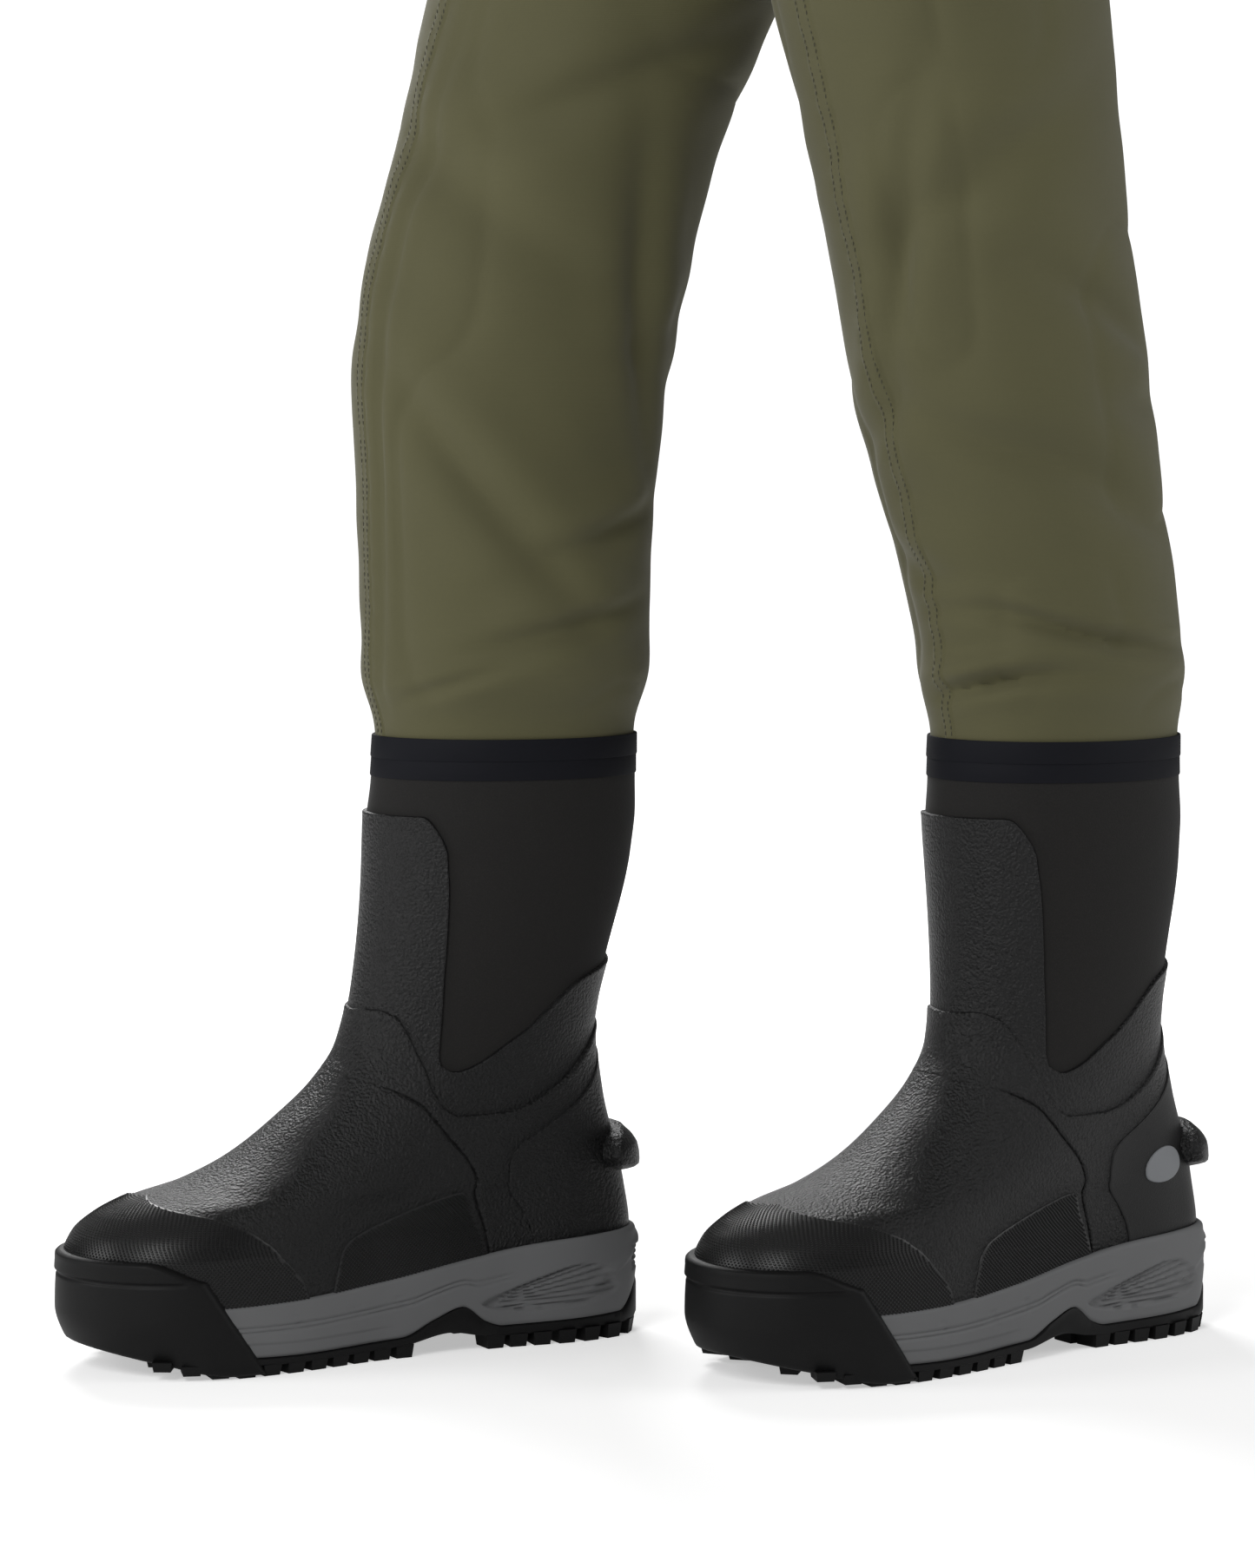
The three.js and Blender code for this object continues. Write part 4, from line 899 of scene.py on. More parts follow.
def foamRelief(x, share, z):  # how far the foam's wall stands in or out, in mm
    groove = lambda d, w: np.exp(-(d / w) ** 2)
    wall = soleTopAt(x) - foamBottomAt(x)
    down = (1 - share) * wall  # mm below the top edge
    middle = 0.42 * np.clip(wall, 18, 30)
    line = groove(down - middle, 0.7) + groove(down - middle - 2.4, 0.7)
    out = -sole["grooveDepth"] * line * smooth((x - 78) / 12)
    out = out - 0.8 * smooth((x - 150) / 20) * smooth((down - wall + 7.5) / 0.8)  # step low on the forefoot
    for notch in (150, 176, 212):
        slant = x - notch + (down - middle) * 0.55
        out = out - 0.9 * groove(slant, 0.8) * np.exp(-((down - middle) / 5.5) ** 4)
    # pointed recess beside the heel, with sweeping ribs
    lens = smooth((insideOutline(roundedOutline(recessOutline, 2), x + 0 * z, z + 0 * x) + 0.3) / 1.6)
    fan = (z - 22) / np.maximum(112 - x, 6)
    sweep = np.sin(fan * 2 * np.pi / 0.052) * smooth((100 - x) / 12)
    out = out - lens * (2.3 - 0.9 * sweep)
    out = out + 1.3 * np.exp(-((z - 34 + (x - 30) * 0.62) / 2.6) ** 2) * smooth((44 - x) / 8) * (x < 44)
    # crescent and short ribs round the back of the heel
    back = smooth((14 - x) / 4)
    ribs = np.sin(z * 2 * np.pi / 3.2)
    out = out - back * smooth((z - 34) / 1.5) * smooth((48 - z) / 1.5) * (1.2 - 0.7 * ribs)
    return out


def toeTuck(x, z):  # how far the toe's lower edge draws in, in mm
    return 9 * smooth((32 - z) / 32) * smooth((x - 255) / 35)


def soleParts(side):
    name = side["name"]
    made = {}
    count = sole["columns"]
    turn = np.linspace(-np.pi, np.pi, count, endpoint=False)
    x0, _ = soleEdge(turn, 0)
    top, bottom = soleTopAt(x0), foamBottomAt(x0)
    rings = []
    for inset, drop in ((16, 1.2), (4.5, 0.6), (3.2, -0.2), (1.6, -0.5)):
        x, y = soleEdge(turn, -inset)
        rings.append(toRow(side, x, y, top - drop * 0.6 + 0.2))
    for share in np.linspace(1, 0, sole["rows"]):
        z = mix(bottom, top, share)
        edge = -1.1 * smooth((share - 0.955) / 0.045) ** 2 - 0.6 * smooth((0.04 - share) / 0.04)
        flare = 1.3 * np.sin(np.pi * share) * smooth((120 - x0) / 80) + 0.5
        x, y = soleEdge(turn, edge + flare + foamRelief(x0, share, z))
        rings.append(toRow(side, x, y, z))
    x, y = soleEdge(turn, -14)
    rings.append(toRow(side, x, y, bottom + 1.0))
    made["midsole"] = capped(name + "Midsole", rings, "midsole_foam", 50)

    # black tread: a rim that meets the foam, and a base for the lugs
    tread = treadBottomAt(x0)
    rings = []
    for inset, z in ((14, bottom - 0.4), (-0.6, bottom - 0.4), (-1.3, mix(bottom, tread, 0.15)),
                     (-1.3, mix(bottom, tread, 0.85)), (-0.2, tread), (12, tread)):
        x, y = soleEdge(turn, -inset - toeTuck(x0, z))
        rings.append(toRow(side, x, y, z))
    made["tread"] = capped(name + "Tread", rings, "sole_rubber", 45)
    made["lugs"] = lugsOf(side)

    # smooth bumper round the toe, with a lip and one groove
    wall = soleWall(side)
    reach = math.radians(78)
    around = np.linspace(-reach, reach, 200)
    levels = np.concatenate([np.linspace(0, 46, 40), np.linspace(46.6, 64, 34)])

    def bumperField(t, z):
        x, _ = soleEdge(t, 0)
        upper = 61 - 11 * smooth((292 - x) / 34) - z
        rear = (x - 233 - (z - 6) * 0.66) * 0.8
        lower = z - (springAt(x) + 1.0)
        return np.minimum(np.minimum(upper, rear), lower)

    def bumperSkin(t, z, off):
        x, _ = soleEdge(t, 0)
        lip = 1.0 * smooth((z - 50.5) / 1.0) * smooth((x - 262) / 12)
        groove = -0.9 * np.exp(-((z - 49.5) / 0.9) ** 2) * smooth((x - 268) / 6)
        belly = 1.2 * np.sin(np.pi * np.clip((z - 8) / 48, 0, 1))
        outside = np.asarray(off) > 0
        return wall(t, z, np.asarray(off) + np.where(outside, lip + groove + belly, 0) - toeTuck(x, z))

    made["bumper"] = panelOn(
        name + "ToeBumper", bumperSkin, around, levels, bumperField,
        [(0, 0.4), (0.6, 2.0), (1.6, 3.0), (3.0, 3.2)], -6.0, "sole_rubber", 50)

    # knurled grip on the toe cap and the side panels
    skin = bootSkin(side)
    made["toeCapKnurl"] = knurlOn(side, skin, "ToeCapKnurl", -74, 74,
                                  lambda t, z: (toeCapTopAt(degreesOf(t)) - z))
    for label, sign in (("medial", 1), ("lateral", -1)):
        outline = roundedOutline([(sign * d, z) for d, z in sidePanelOutline], 2)
        made[label + "Knurl"] = knurlOn(side, skin, label.title() + "Knurl", *sorted((sign * 75, sign * 115)),
                                        lambda t, z, o=outline: insideOutline(o, np.degrees(t), z))
    return made


knurl = {"across": 2.3, "up": 1.35, "size": (2.25, 1.45, 0.68), "rim": 1.2}


def knurlOn(side, skin, label, fromDegrees, toDegrees, fieldAt):
    # rows along the skin, each shifted by half a step, thinned out to keep an even pitch
    rows = heightsFrom(34, 92, knurl["up"] * 0.86)
    spots = []
    for r, level in enumerate(rows):
        turns = np.radians(np.linspace(fromDegrees, toDegrees, 500))
        edgeX, _ = soleEdge(turns, 0)
        z = level + (soleTopAt(edgeX) - 36) * (1 - smooth((level - 36) / 75))
        line = skin(turns, z, np.full(len(turns), 1.95))
        run = np.concatenate([[0], np.cumsum(np.linalg.norm(np.diff(line, axis=0), axis=1))])
        run = run - np.interp(np.radians(fromDegrees + toDegrees) / 2, turns, run)
        first = math.ceil(run[0] / knurl["across"]) + (r % 2) / 2
        marks = np.arange(first * knurl["across"], run[-1], knurl["across"])
        t = np.interp(marks, run, turns)
        h = np.interp(marks, run, z)
        value = fieldAt(t, h) / np.maximum(surfaceSlope(skin, fieldAt, t, h), 1e-6)
        edge, _ = soleEdge(t, 0)
        keep = (value > knurl["rim"]) & (h > soleTopAt(edge) - 1)
        t, h = t[keep], h[keep]
        if not len(t):
            continue
        at = skin(t, h, np.full(len(t), 1.9))
        outward = unit(skin(t, h, np.full(len(t), 3.0)) - at)
        along = unit(skin(t + 0.01, h, np.full(len(t), 1.9)) - at)
        spots += list(zip(at, outward, along))
    return setOnPoints(side["name"] + label, spots, "diamond", knurl["size"], "knurl")


def lugsOf(side):
    turn = np.linspace(-np.pi, np.pi, 900)
    spots = []
    skinAt = lambda inset: toRow(side, *soleEdge(turn, -inset), 0 * turn)
    up = np.array([0, 0, -1.0])
    for inset, pitch in ((8.5, 13.5), (27, 17.5)):
        line = skinAt(inset)
        run = np.concatenate([[0], np.cumsum(np.linalg.norm(np.diff(line, axis=0), axis=1))])
        for mark in np.arange(pitch / 2, run[-1], pitch):
            t = np.interp(mark, run, turn)
            x, y = soleEdge(np.array([t]), -inset)
            if 104 < x[0] < 148 or x[0] > 284:
                continue
            low = springAt(x[0])
            high = float(treadBottomAt(x[0])) + 0.5
            place = toRow(side, x, y, np.array([high]))[0]
            ahead = toRow(side, *soleEdge(np.array([t + 0.01]), -inset), np.array([high]))[0]
            spots.append((place, up, unit(ahead - place), high - low))
    tall = np.array([s[3] for s in spots])
    piece = setOnPoints(side["name"] + "Lugs", [s[:3] for s in spots], "block",
                        (10.2, 17.0, float(tall.mean())), "sole_rubber", 0.86)
    # each lug reaches from the tread down to the ground or the toe's spring
    mesh = piece.data
    points = np.zeros(len(mesh.vertices) * 3, np.float32)
    mesh.vertices.foreach_get("co", points)
    points = points.reshape(-1, 3)
    each = len(points) // len(spots)
    for i, spot in enumerate(spots):
        part = points[i * each:(i + 1) * each]
        root = spot[0][2] * mm
        part[:, 2] = root + (part[:, 2] - root) * spot[3] / tall.mean()
    mesh.vertices.foreach_set("co", points.ravel())
    return piece


kneeZ, thighTop, cuffZ = 500, 756, 310.4
legRadius = 82.0  # of the plain tube, for turning millimetres round the leg into angles
# a fold: degrees round the leg, slant, height, width, depth and reach
legs = {
    "right": {
        "knee": (-18, -62), "thigh": (-20, 12), "hip": (-6, 52), "edges": (-25, 155),
        "halves": [(365, 75), (440, 79), (535, 85), (627, 87), (720, 96), (800, 101), (880, 84)],
        "folds": [
            (60, -1.1, 447, 26, 4.6, 75), (95, 0.21, 377, 15, 4.4, 60), (116, -2.8, 545, 26, 5.0, 90),
            (30, -0.6, 610, 34, 4.2, 90), (80, 0.5, 660, 36, 4.6, 90), (125, 0.35, 430, 20, 5.0, 55),
            (45, 0.25, 350, 10, 2.4, 50), (13, 40, 500, 10, 2.3, 170), (-110, 0.3, 480, 26, 6.0, 70),
            (-60, -0.4, 560, 30, 5.0, 70), (-150, 0.2, 400, 20, 5.0, 60), (180, -0.2, 500, 22, 6.0, 60),
            (170, 0.3, 545, 24, 5.0, 60)]},
    "left": {
        "knee": (150, 139), "thigh": (157, 82), "hip": (145, 52), "edges": (36, -144),
        "halves": [(365, 72), (440, 76), (500, 80), (535, 80), (627, 82), (720, 88), (800, 95), (880, 84)],
        "folds": [
            (-75, 0.42, 461, 30, 5.0, 85), (-75, 0.12, 376, 13, 4.6, 90), (-24, -0.15, 346, 12, 6.4, 52),
            (-20, -3.0, 565, 22, 4.2, 80), (-60, -0.6, 610, 34, 4.6, 90), (-105, 0.5, 540, 28, 4.4, 70),
            (20, -0.5, 480, 26, 4.0, 50), (12, 0.4, 415, 22, 3.6, 50), (100, 0.3, 470, 26, 6.0, 70),
            (140, 0.2, 380, 16, 5.0, 60), (-150, -0.2, 500, 26, 6.0, 60), (60, -0.4, 590, 30, 5.0, 70)]},
}


def legCurves(name, leg):
    side = stance[name]
    cuffX = (frontAt(320) + backAt(320)) / 2 + side["lean"]
    cuffDepth = (frontAt(320) - backAt(320)) / 2
    cuff = side["heel"] - designOrigin + side["forward"] * cuffX
    inset = boot["rubber"] + boot["layerGap"]
    spots = [(310, cuff), (320, cuff), (kneeZ, leg["knee"]), (750, leg["thigh"]), (880, leg["hip"])]
    leg["x"] = curveThrough([(z, p[0]) for z, p in spots])
    leg["y"] = curveThrough([(z, p[1]) for z, p in spots])
    halves = leg["halves"]
    leg["depth"] = curveThrough([(310, cuffDepth - inset), (320, cuffDepth - inset)] + halves)
    narrow = [(z, h - 6 * float(smooth((700 - z) / 200))) for z, h in halves]
    leg["width"] = curveThrough([(310, 60 - inset), (320, 60 - inset)] + narrow)
    leg["toeOut"] = curveThrough([(310, side["toeOut"]), (kneeZ, side["toeOut"]), (880, 0)])
    leg["medial"] = side["medial"]


for legName, legSizes in legs.items():
    legCurves(legName, legSizes)


def legPoint(leg, turn, z, off):
    heading = np.radians(-90 - leg["toeOut"](z) * leg["medial"])
    fx, fy = np.cos(heading), np.sin(heading)
    a = (leg["depth"](z) + off) * np.cos(turn)
    b = (leg["width"](z) + off) * np.sin(turn) * leg["medial"]
    x = designOrigin[0] + leg["x"](z) + fx * a - fy * b
    y = designOrigin[1] + leg["y"](z) + fy * a + fx * b
    return np.stack([x, y, z + 0 * x], -1)


def legDrape(leg, turn, z):  # folds of the cloth, in mm off the plain tube
    degrees = (np.degrees(turn) + 180) % 360 - 180
    radius = legRadius
    out = np.zeros(np.broadcast(turn, z).shape)
    wander = 7 * softNoise(np.cos(turn) * radius, np.sin(turn) * radius + 300 * leg["medial"], z, 70)
    for centre, slant, height, width, depth, reach in leg["folds"]:
        away = ((degrees - centre + 180) % 360 - 180) * math.pi / 180 * radius
        steep = math.hypot(1, slant)
        across = (z - height - slant * away + wander) / steep
        along = (away + slant * (z - height)) / steep
        valley = -np.exp(-(across / (0.38 * width)) ** 2)
        crest = 0.8 * np.exp(-((across - width * 0.8) / (0.6 * width)) ** 2)
        crest = crest + 0.4 * np.exp(-((across + width * 0.8) / (0.55 * width)) ** 2)
        out = out + 1.15 * depth * np.exp(-(along / reach) ** 2) * (valley + crest)
    for edge in leg["edges"]:
        fromEdge = (degrees - edge + 180) % 360 - 180
        out = out * (1 - 0.88 * np.exp(-(fromEdge / 26) ** 2))
    ridge = (1 - np.abs(softNoise(np.cos(turn) * radius + 40, np.sin(turn) * radius, z * 0.8, 62))) ** 6
    out = out - 2.2 * ridge
    broad = softNoise(np.cos(turn) * radius, np.sin(turn) * radius, z + 500 * leg["medial"], 95)
    small = softNoise(np.cos(turn) * radius, np.sin(turn) * radius, z * 1.6 + 90, 34)
    out = out + 2.2 * broad + 0.7 * small
    settle = smooth((z - 324) / 30) * smooth((thighTop + 60 - z) / 110)
    blouse = 3.0 * np.exp(-((z - 348) / 16) ** 2)  # the cloth bags a little over the cuff
    return out * settle + blouse


seam = {"half": 4.6, "lift": 0.7, "stitchPitch": 3.3, "stitch": (2.3, 0.62, 0.5)}


def legSleeve(name):
    leg = legs[name]
    cuffTurn = np.arange(144) / 144 * 2 * np.pi
    arc = lambda d: d / legRadius
    extra = [arc(d) for d in (-seam["half"] - 0.7, -seam["half"], seam["half"], seam["half"] + 0.7,
                              -seam["half"] / 2, seam["half"] / 2)]
    turns = np.unique(np.round(np.concatenate([cuffTurn, [e % (2 * np.pi) for e in extra]]), 6))
    heights = np.concatenate([np.linspace(cuffZ, 330, 10), np.linspace(333, thighTop, 150)])
    turnGrid, zGrid = np.meshgrid(turns, heights)
    offset = legDrape(leg, turnGrid, zGrid)
    fromSeam = np.abs(((turnGrid + np.pi) % (2 * np.pi)) - np.pi) * legRadius
    flat = seam["lift"] * (fromSeam < seam["half"] + 0.01)
    gathers = np.sin(zGrid * 2 * np.pi / 17 + 2 * np.sin(zGrid / 31))
    pucker = 0.5 * np.exp(-((fromSeam - seam["half"]) / 3) ** 2) * gathers
    outer = legPoint(leg, turnGrid, zGrid, offset + flat + pucker * smooth((zGrid - 325) / 20))
    inner = legPoint(leg, turnGrid, zGrid, offset + pucker * smooth((zGrid - 325) / 20) - 1.1)
    sleeve = looped(name + "LegSleeve", np.concatenate([outer, inner[::-1]]), "cloth", 60)
    legUv(sleeve, leg)
    pieces = [sleeve]
    # stitches down both edges of the front seam
    for offSeam in (-seam["half"] + 1.1, seam["half"] - 1.1):
        z = np.linspace(322, thighTop - 4, 700)
        t = np.full(700, offSeam / legRadius)
        drape = legDrape(leg, t, z)
        line = legPoint(leg, t, z, drape + seam["lift"] + 0.3)
        outward = unit(legPoint(leg, t, z, drape + 2) - legPoint(leg, t, z, drape))
        places, ahead = alongPath(line, seam["stitchPitch"])
        facing = np.stack([np.interp(places[:, 2], line[:, 2], outward[:, i]) for i in range(3)], 1)
        pieces.append(setOnPoints(name + ("Inner" if offSeam < 0 else "Outer") + "SeamStitches",
                                  list(zip(places, facing, ahead)), "stitch", seam["stitch"], "thread"))
    # the seam that joins the leg to the seat
    around = np.linspace(0, 2 * np.pi, 144, endpoint=False)
    band = []
    for z, off in ((thighTop - 9, 0.2), (thighTop - 8.4, 1.5), (thighTop + 1.4, 1.7), (thighTop + 2, 0.6),
                   (thighTop - 3, -0.4)):
        zs = np.full(144, float(z))
        band.append(legPoint(leg, around, zs, legDrape(leg, around, zs) + off))
    binding = looped(name + "ThighSeam", band, "hem_binding", 50)
    legUv(binding, leg)
    pieces.append(binding)

    def at(z):
        return tuple(float(v) * mm for v in (designOrigin[0] + leg["x"](z), designOrigin[1] + leg["y"](z), z))

    for piece in pieces[:3]:
        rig.blend(piece, "upper_garment", name + "_lower_leg_and_boot", start=at(640), end=at(360))
    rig.ride(binding, "upper_garment")
    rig.replaces(sleeve, f"{name}_lower_leg", f"{name}_knee_section", f"{name}_upper_leg")
    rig.slot(pieces[1], "cloth")
    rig.slot(pieces[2], "cloth")
    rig.slot(binding, "hem_binding")
    tapes = [bpy.data.objects[f"{name}{band}Tape"] for band in ("Upper", "Lower")]
    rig.sheet(sleeve, flat=(0.54, 0.455), held="hung", rests_on=[f"{name}_cuff_tape"],
             with_pieces=[pieces[1], pieces[2], binding, *tapes])
    print(name, "leg ready")


def legUv(piece, leg):
    def centreAt(z):
        return designOrigin[0] + leg["x"](z / mm), designOrigin[1] + leg["y"](z / mm)

    wrapUv(piece.data, centreAt, 0.085)


def wrapUv(mesh, centreAt, radius):  # metres round the piece and metres up it
    layer = mesh.uv_layers.new(name="wrap")
    points = np.zeros(len(mesh.vertices) * 3, np.float32)
    mesh.vertices.foreach_get("co", points)
    points = points.reshape(-1, 3)
    cx, cy = centreAt(points[:, 2])
    angle = np.arctan2(points[:, 1] - cy, points[:, 0] - cx)
    loops = np.zeros(len(mesh.loops), np.int32)
    mesh.loops.foreach_get("vertex_index", loops)
    uv = np.zeros((len(loops), 2), np.float32)
    uv[:, 0], uv[:, 1] = angle[loops] * radius, points[loops, 2]
    starts = np.zeros(len(mesh.polygons), np.int32)
    totals = np.zeros(len(mesh.polygons), np.int32)
    mesh.polygons.foreach_get("loop_start", starts)
    mesh.polygons.foreach_get("loop_total", totals)
    for start, total in zip(starts, totals):
        part = uv[start:start + total, 0]
        if part.max() - part.min() > math.pi * radius:
            part[part < 0] += 2 * math.pi * radius
    layer.data.foreach_set("uv", uv.ravel())


bib = {
    "x": 69.5, "y": 52, "hipSide": 176, "hipDepth": 138, "waistZ": 1050, "waistSide": 178, "chestSide": 196,
    "chestDepth": 132, "frontTop": 1400, "backTop": 1330, "wall": 1.2, "voxel": 6.0,
}
torsoSideAt = curveThrough([
    (768, 60), (800, 132), (850, bib["hipSide"] - 4), (900, bib["hipSide"]), (1020, bib["waistSide"]),
    (1086, bib["waistSide"]), (1200, bib["chestSide"]), (1500, bib["chestSide"])])
torsoDepthAt = curveThrough([
    (768, 66), (800, 104), (850, bib["hipDepth"] - 6), (900, bib["hipDepth"]), (1020, bib["chestDepth"]),
    (1086, bib["chestDepth"]), (1500, bib["chestDepth"])])
torsoMiddle = designOrigin + np.array([bib["x"], bib["y"]])


def topEdge(turn):
    return mix(bib["backTop"], bib["frontTop"], smooth((1 + 1.25 * np.cos(turn)) / 2))


def torsoDrape(turn, z):  # soft folds, gathers at the belt, calm under the pocket and the hem
    lump = softNoise(np.sin(turn) * 180, np.cos(turn) * 140, z * 0.6, 85)
    crease = softNoise(np.sin(turn) * 180 + z * 0.25, np.cos(turn) * 140, z * 0.35, 42)
    gather = np.sin(turn * 31 + 3 * softNoise(np.sin(turn) * 90, np.cos(turn) * 90, z * 0 + 7, 30))
    fromBelt = np.abs(z - bib["waistZ"])
    nearBelt = smooth((fromBelt - 19) / 14) * np.exp(-((fromBelt - 20) / 46) ** 2)
    puff = 5.5 * smooth((fromBelt - 19) / 26) * np.exp(-((fromBelt - 20) / 60) ** 2)
    underPocket = smooth((100 - np.abs(np.sin(turn) * 190)) / 20) * (np.cos(turn) > 0)
    calm = 1 - 0.85 * smooth((z - 1105) / 25) * underPocket
    calm = calm * smooth((topEdge(turn) - 16 - z) / 60) * smooth((fromBelt - 19) / 20)
    ridge = (1 - np.abs(softNoise(np.sin(turn) * 180 + z * 0.4, np.cos(turn) * 140, z * 0.5 + 31, 70))) ** 6
    return calm * (5.0 * lump + 3.2 * crease - 4.5 * ridge) + 2.6 * gather * nearBelt + puff * calm


def torsoSkin(turn, z, off):
    turn, z = np.broadcast_arrays(np.asarray(turn, float), np.asarray(z, float))
    off = np.asarray(off) + torsoDrape(turn, z)
    a, b = torsoSideAt(z), torsoDepthAt(z)
    nx, ny = np.sin(turn) / a, -np.cos(turn) / b
    size = np.hypot(nx, ny)
    x = torsoMiddle[0] + a * np.sin(turn) + nx / size * off
    y = torsoMiddle[1] - b * np.cos(turn) + ny / size * off
    return np.stack([x, y, z], -1)


def turnAtX(x, z):
    return np.arcsin(x / torsoSideAt(z))


def torsoUv(piece):
    wrapUv(piece.data, lambda z: (torsoMiddle[0] * mm + 0 * z, torsoMiddle[1] * mm + 0 * z), 0.17)


def evaluated(obj):  # the mesh with its modifiers worked in
    dg = bpy.context.evaluated_depsgraph_get()
    result = bpy.data.meshes.new_from_object(obj.evaluated_get(dg))
    obj.modifiers.clear()
    obj.data = result
    return obj


def seatAndBib():
    around = np.linspace(0, 2 * np.pi, 96, endpoint=False)
    plain = []
    for z in np.concatenate([np.linspace(770, 900, 14), np.linspace(915, 1430, 36)]):
        a, b = torsoSideAt(z), torsoDepthAt(z)
        plain.append(np.stack([torsoMiddle[0] + a * np.sin(around), torsoMiddle[1] - b * np.cos(around),
                               np.full(96, z)], -1))
    parts = [capped("hipCore", plain, "cloth")]
    for name, leg in legs.items():
        rings = [legPoint(leg, around, np.full(96, z), np.full(96, 1.2 - 2.4 * float(smooth((772 - z) / 18))))
                 for z in np.linspace(738, 868, 18)]
        parts.append(capped(name + "Core", rings, "cloth"))
    joined = bmesh.new()
    for part in parts:
        joined.from_mesh(part.data)
        bpy.data.objects.remove(part)
    mesh = bpy.data.meshes.new("BibBody")
    joined.to_mesh(mesh)
    joined.free()
    piece = bpy.data.objects.new("BibBody", mesh)
    bpy.context.scene.collection.objects.link(piece)
    remesh = piece.modifiers.new("one skin", "REMESH")
    remesh.mode = "VOXEL"
    remesh.voxel_size = bib["voxel"] * mm
    soften = piece.modifiers.new("soften", "SMOOTH")
    soften.iterations = 9
    evaluated(piece)
    shape = bmesh.new()
    shape.from_mesh(piece.data)
    gone = []
    for face in shape.faces:
        for v in face.verts:
            x, y, z = (c / mm for c in v.co)
            turn = math.atan2(x - torsoMiddle[0], -(y - torsoMiddle[1]))
            if z < 746 or z > float(topEdge(turn)) - 5:
                gone.append(face)
                break
    bmesh.ops.delete(shape, geom=gone, context="FACES")
    shape.normal_update()
    points = np.array([v.co[:] for v in shape.verts]) / mm
    normals = np.array([v.normal[:] for v in shape.verts])
    turn = np.arctan2(points[:, 0] - torsoMiddle[0], -(points[:, 1] - torsoMiddle[1]) * 1.25)
    upperShare = smooth((points[:, 2] - 880) / 70)
    move = upperShare * torsoDrape(turn, points[:, 2])
    lump = softNoise(points[:, 0], points[:, 1], points[:, 2], 48) * 3.0
    move += (1 - upperShare) * smooth((points[:, 2] - 775) / 40) * lump
    for name, leg in legs.items():
        cx, cy = designOrigin[0] + leg["x"](points[:, 2]), designOrigin[1] + leg["y"](points[:, 2])
        heading = math.radians(-90)
        dx, dy = points[:, 0] - cx, points[:, 1] - cy
        fx, fy = math.cos(heading), math.sin(heading)
        legTurn = np.arctan2((-dx * fy + dy * fx) * leg["medial"], dx * fx + dy * fy)
        mine = (points[:, 0] < torsoMiddle[0]) == (name == "right")
        move += mine * smooth((806 - points[:, 2]) / 50) * legDrape(leg, legTurn, points[:, 2])
    moved = (points + normals * move[:, None]) * mm
    for v, p in zip(shape.verts, moved):
        v.co = p
    shape.to_mesh(piece.data)
    shape.free()
    wall = piece.modifiers.new("wall", "SOLIDIFY")
    wall.thickness = bib["wall"] * mm
    wall.offset = -1
    evaluated(piece)
    piece.data.materials.clear()
    piece.data.materials.append(finishes["cloth"])
    piece.data.shade_smooth()
    torsoUv(piece)
    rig.ride(piece, "upper_garment")
    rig.replaces(piece, "bib_and_seat")
    return piece


def torsoStitches(name, turns, heights, off, finish="thread", size=(2.4, 0.65, 0.55), pitch=3.4):
    line = torsoSkin(turns, heights, np.full(len(turns), off))
    outer = torsoSkin(turns, heights, np.full(len(turns), off + 1.0))
    facing = unit(outer - line)
    places, ahead = alongPath(line, pitch)
    steps = np.linalg.norm(np.diff(line, axis=0), axis=1)
    run = np.concatenate([[0], np.cumsum(steps)])
    marks = np.arange(pitch / 2, run[-1], pitch)
    outward = np.stack([np.interp(marks, run, facing[:, i]) for i in range(3)], 1)
    piece = setOnPoints(name, list(zip(places, outward, ahead)), "stitch", size, finish)
    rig.ride(piece, "upper_garment")
    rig.slot(piece, "webbing" if finish == "blackThread" else "cloth")
    return piece


def sewnBox(name, x0, x1, z0, z1, off, finish="thread"):  # stitches round a box on the bib
    corners = [(x0, z0), (x1, z0), (x1, z1), (x0, z1), (x0, z0)]
    xs = np.concatenate([np.linspace(a[0], b[0], 40) for a, b in zip(corners, corners[1:])])
    zs = np.concatenate([np.linspace(a[1], b[1], 40) for a, b in zip(corners, corners[1:])])
    return torsoStitches(name, turnAtX(xs, zs), zs, off, finish)


def torsoPanel(name, x0, x1, z0, z1, off, wall, finish, corner=10, centre=0.0):
    half = (x1 - x0) / 2
    spread = half / 150 * 1.25
    turns = np.linspace(centre - spread, centre + spread, max(16, int(half / 1.6)))
    rows = np.linspace(z0 - 4, z1 + 4, max(16, int((z1 - z0) / 3.0)))

    def field(t, z):
        x = np.sin(t - centre) * torsoSideAt(z) if centre == 0 else (t - centre) * 132
        dx, dz = np.abs(x) - half + corner, np.abs(z - (z0 + z1) / 2) - (z1 - z0) / 2 + corner
        return corner - np.hypot(np.maximum(dx, 0), np.maximum(dz, 0)) - np.minimum(np.maximum(dx, dz), 0)

    skin = lambda t, z, o: torsoSkin(t, z, np.asarray(o) + off)
    piece = panelOn(name, skin, turns, rows, field,
                    [(0, 0.1), (0.3, wall * 0.6), (0.9, wall), (2.5, wall)], -0.5, finish)
    torsoUv(piece)
    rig.ride(piece, "upper_garment")
    return piece


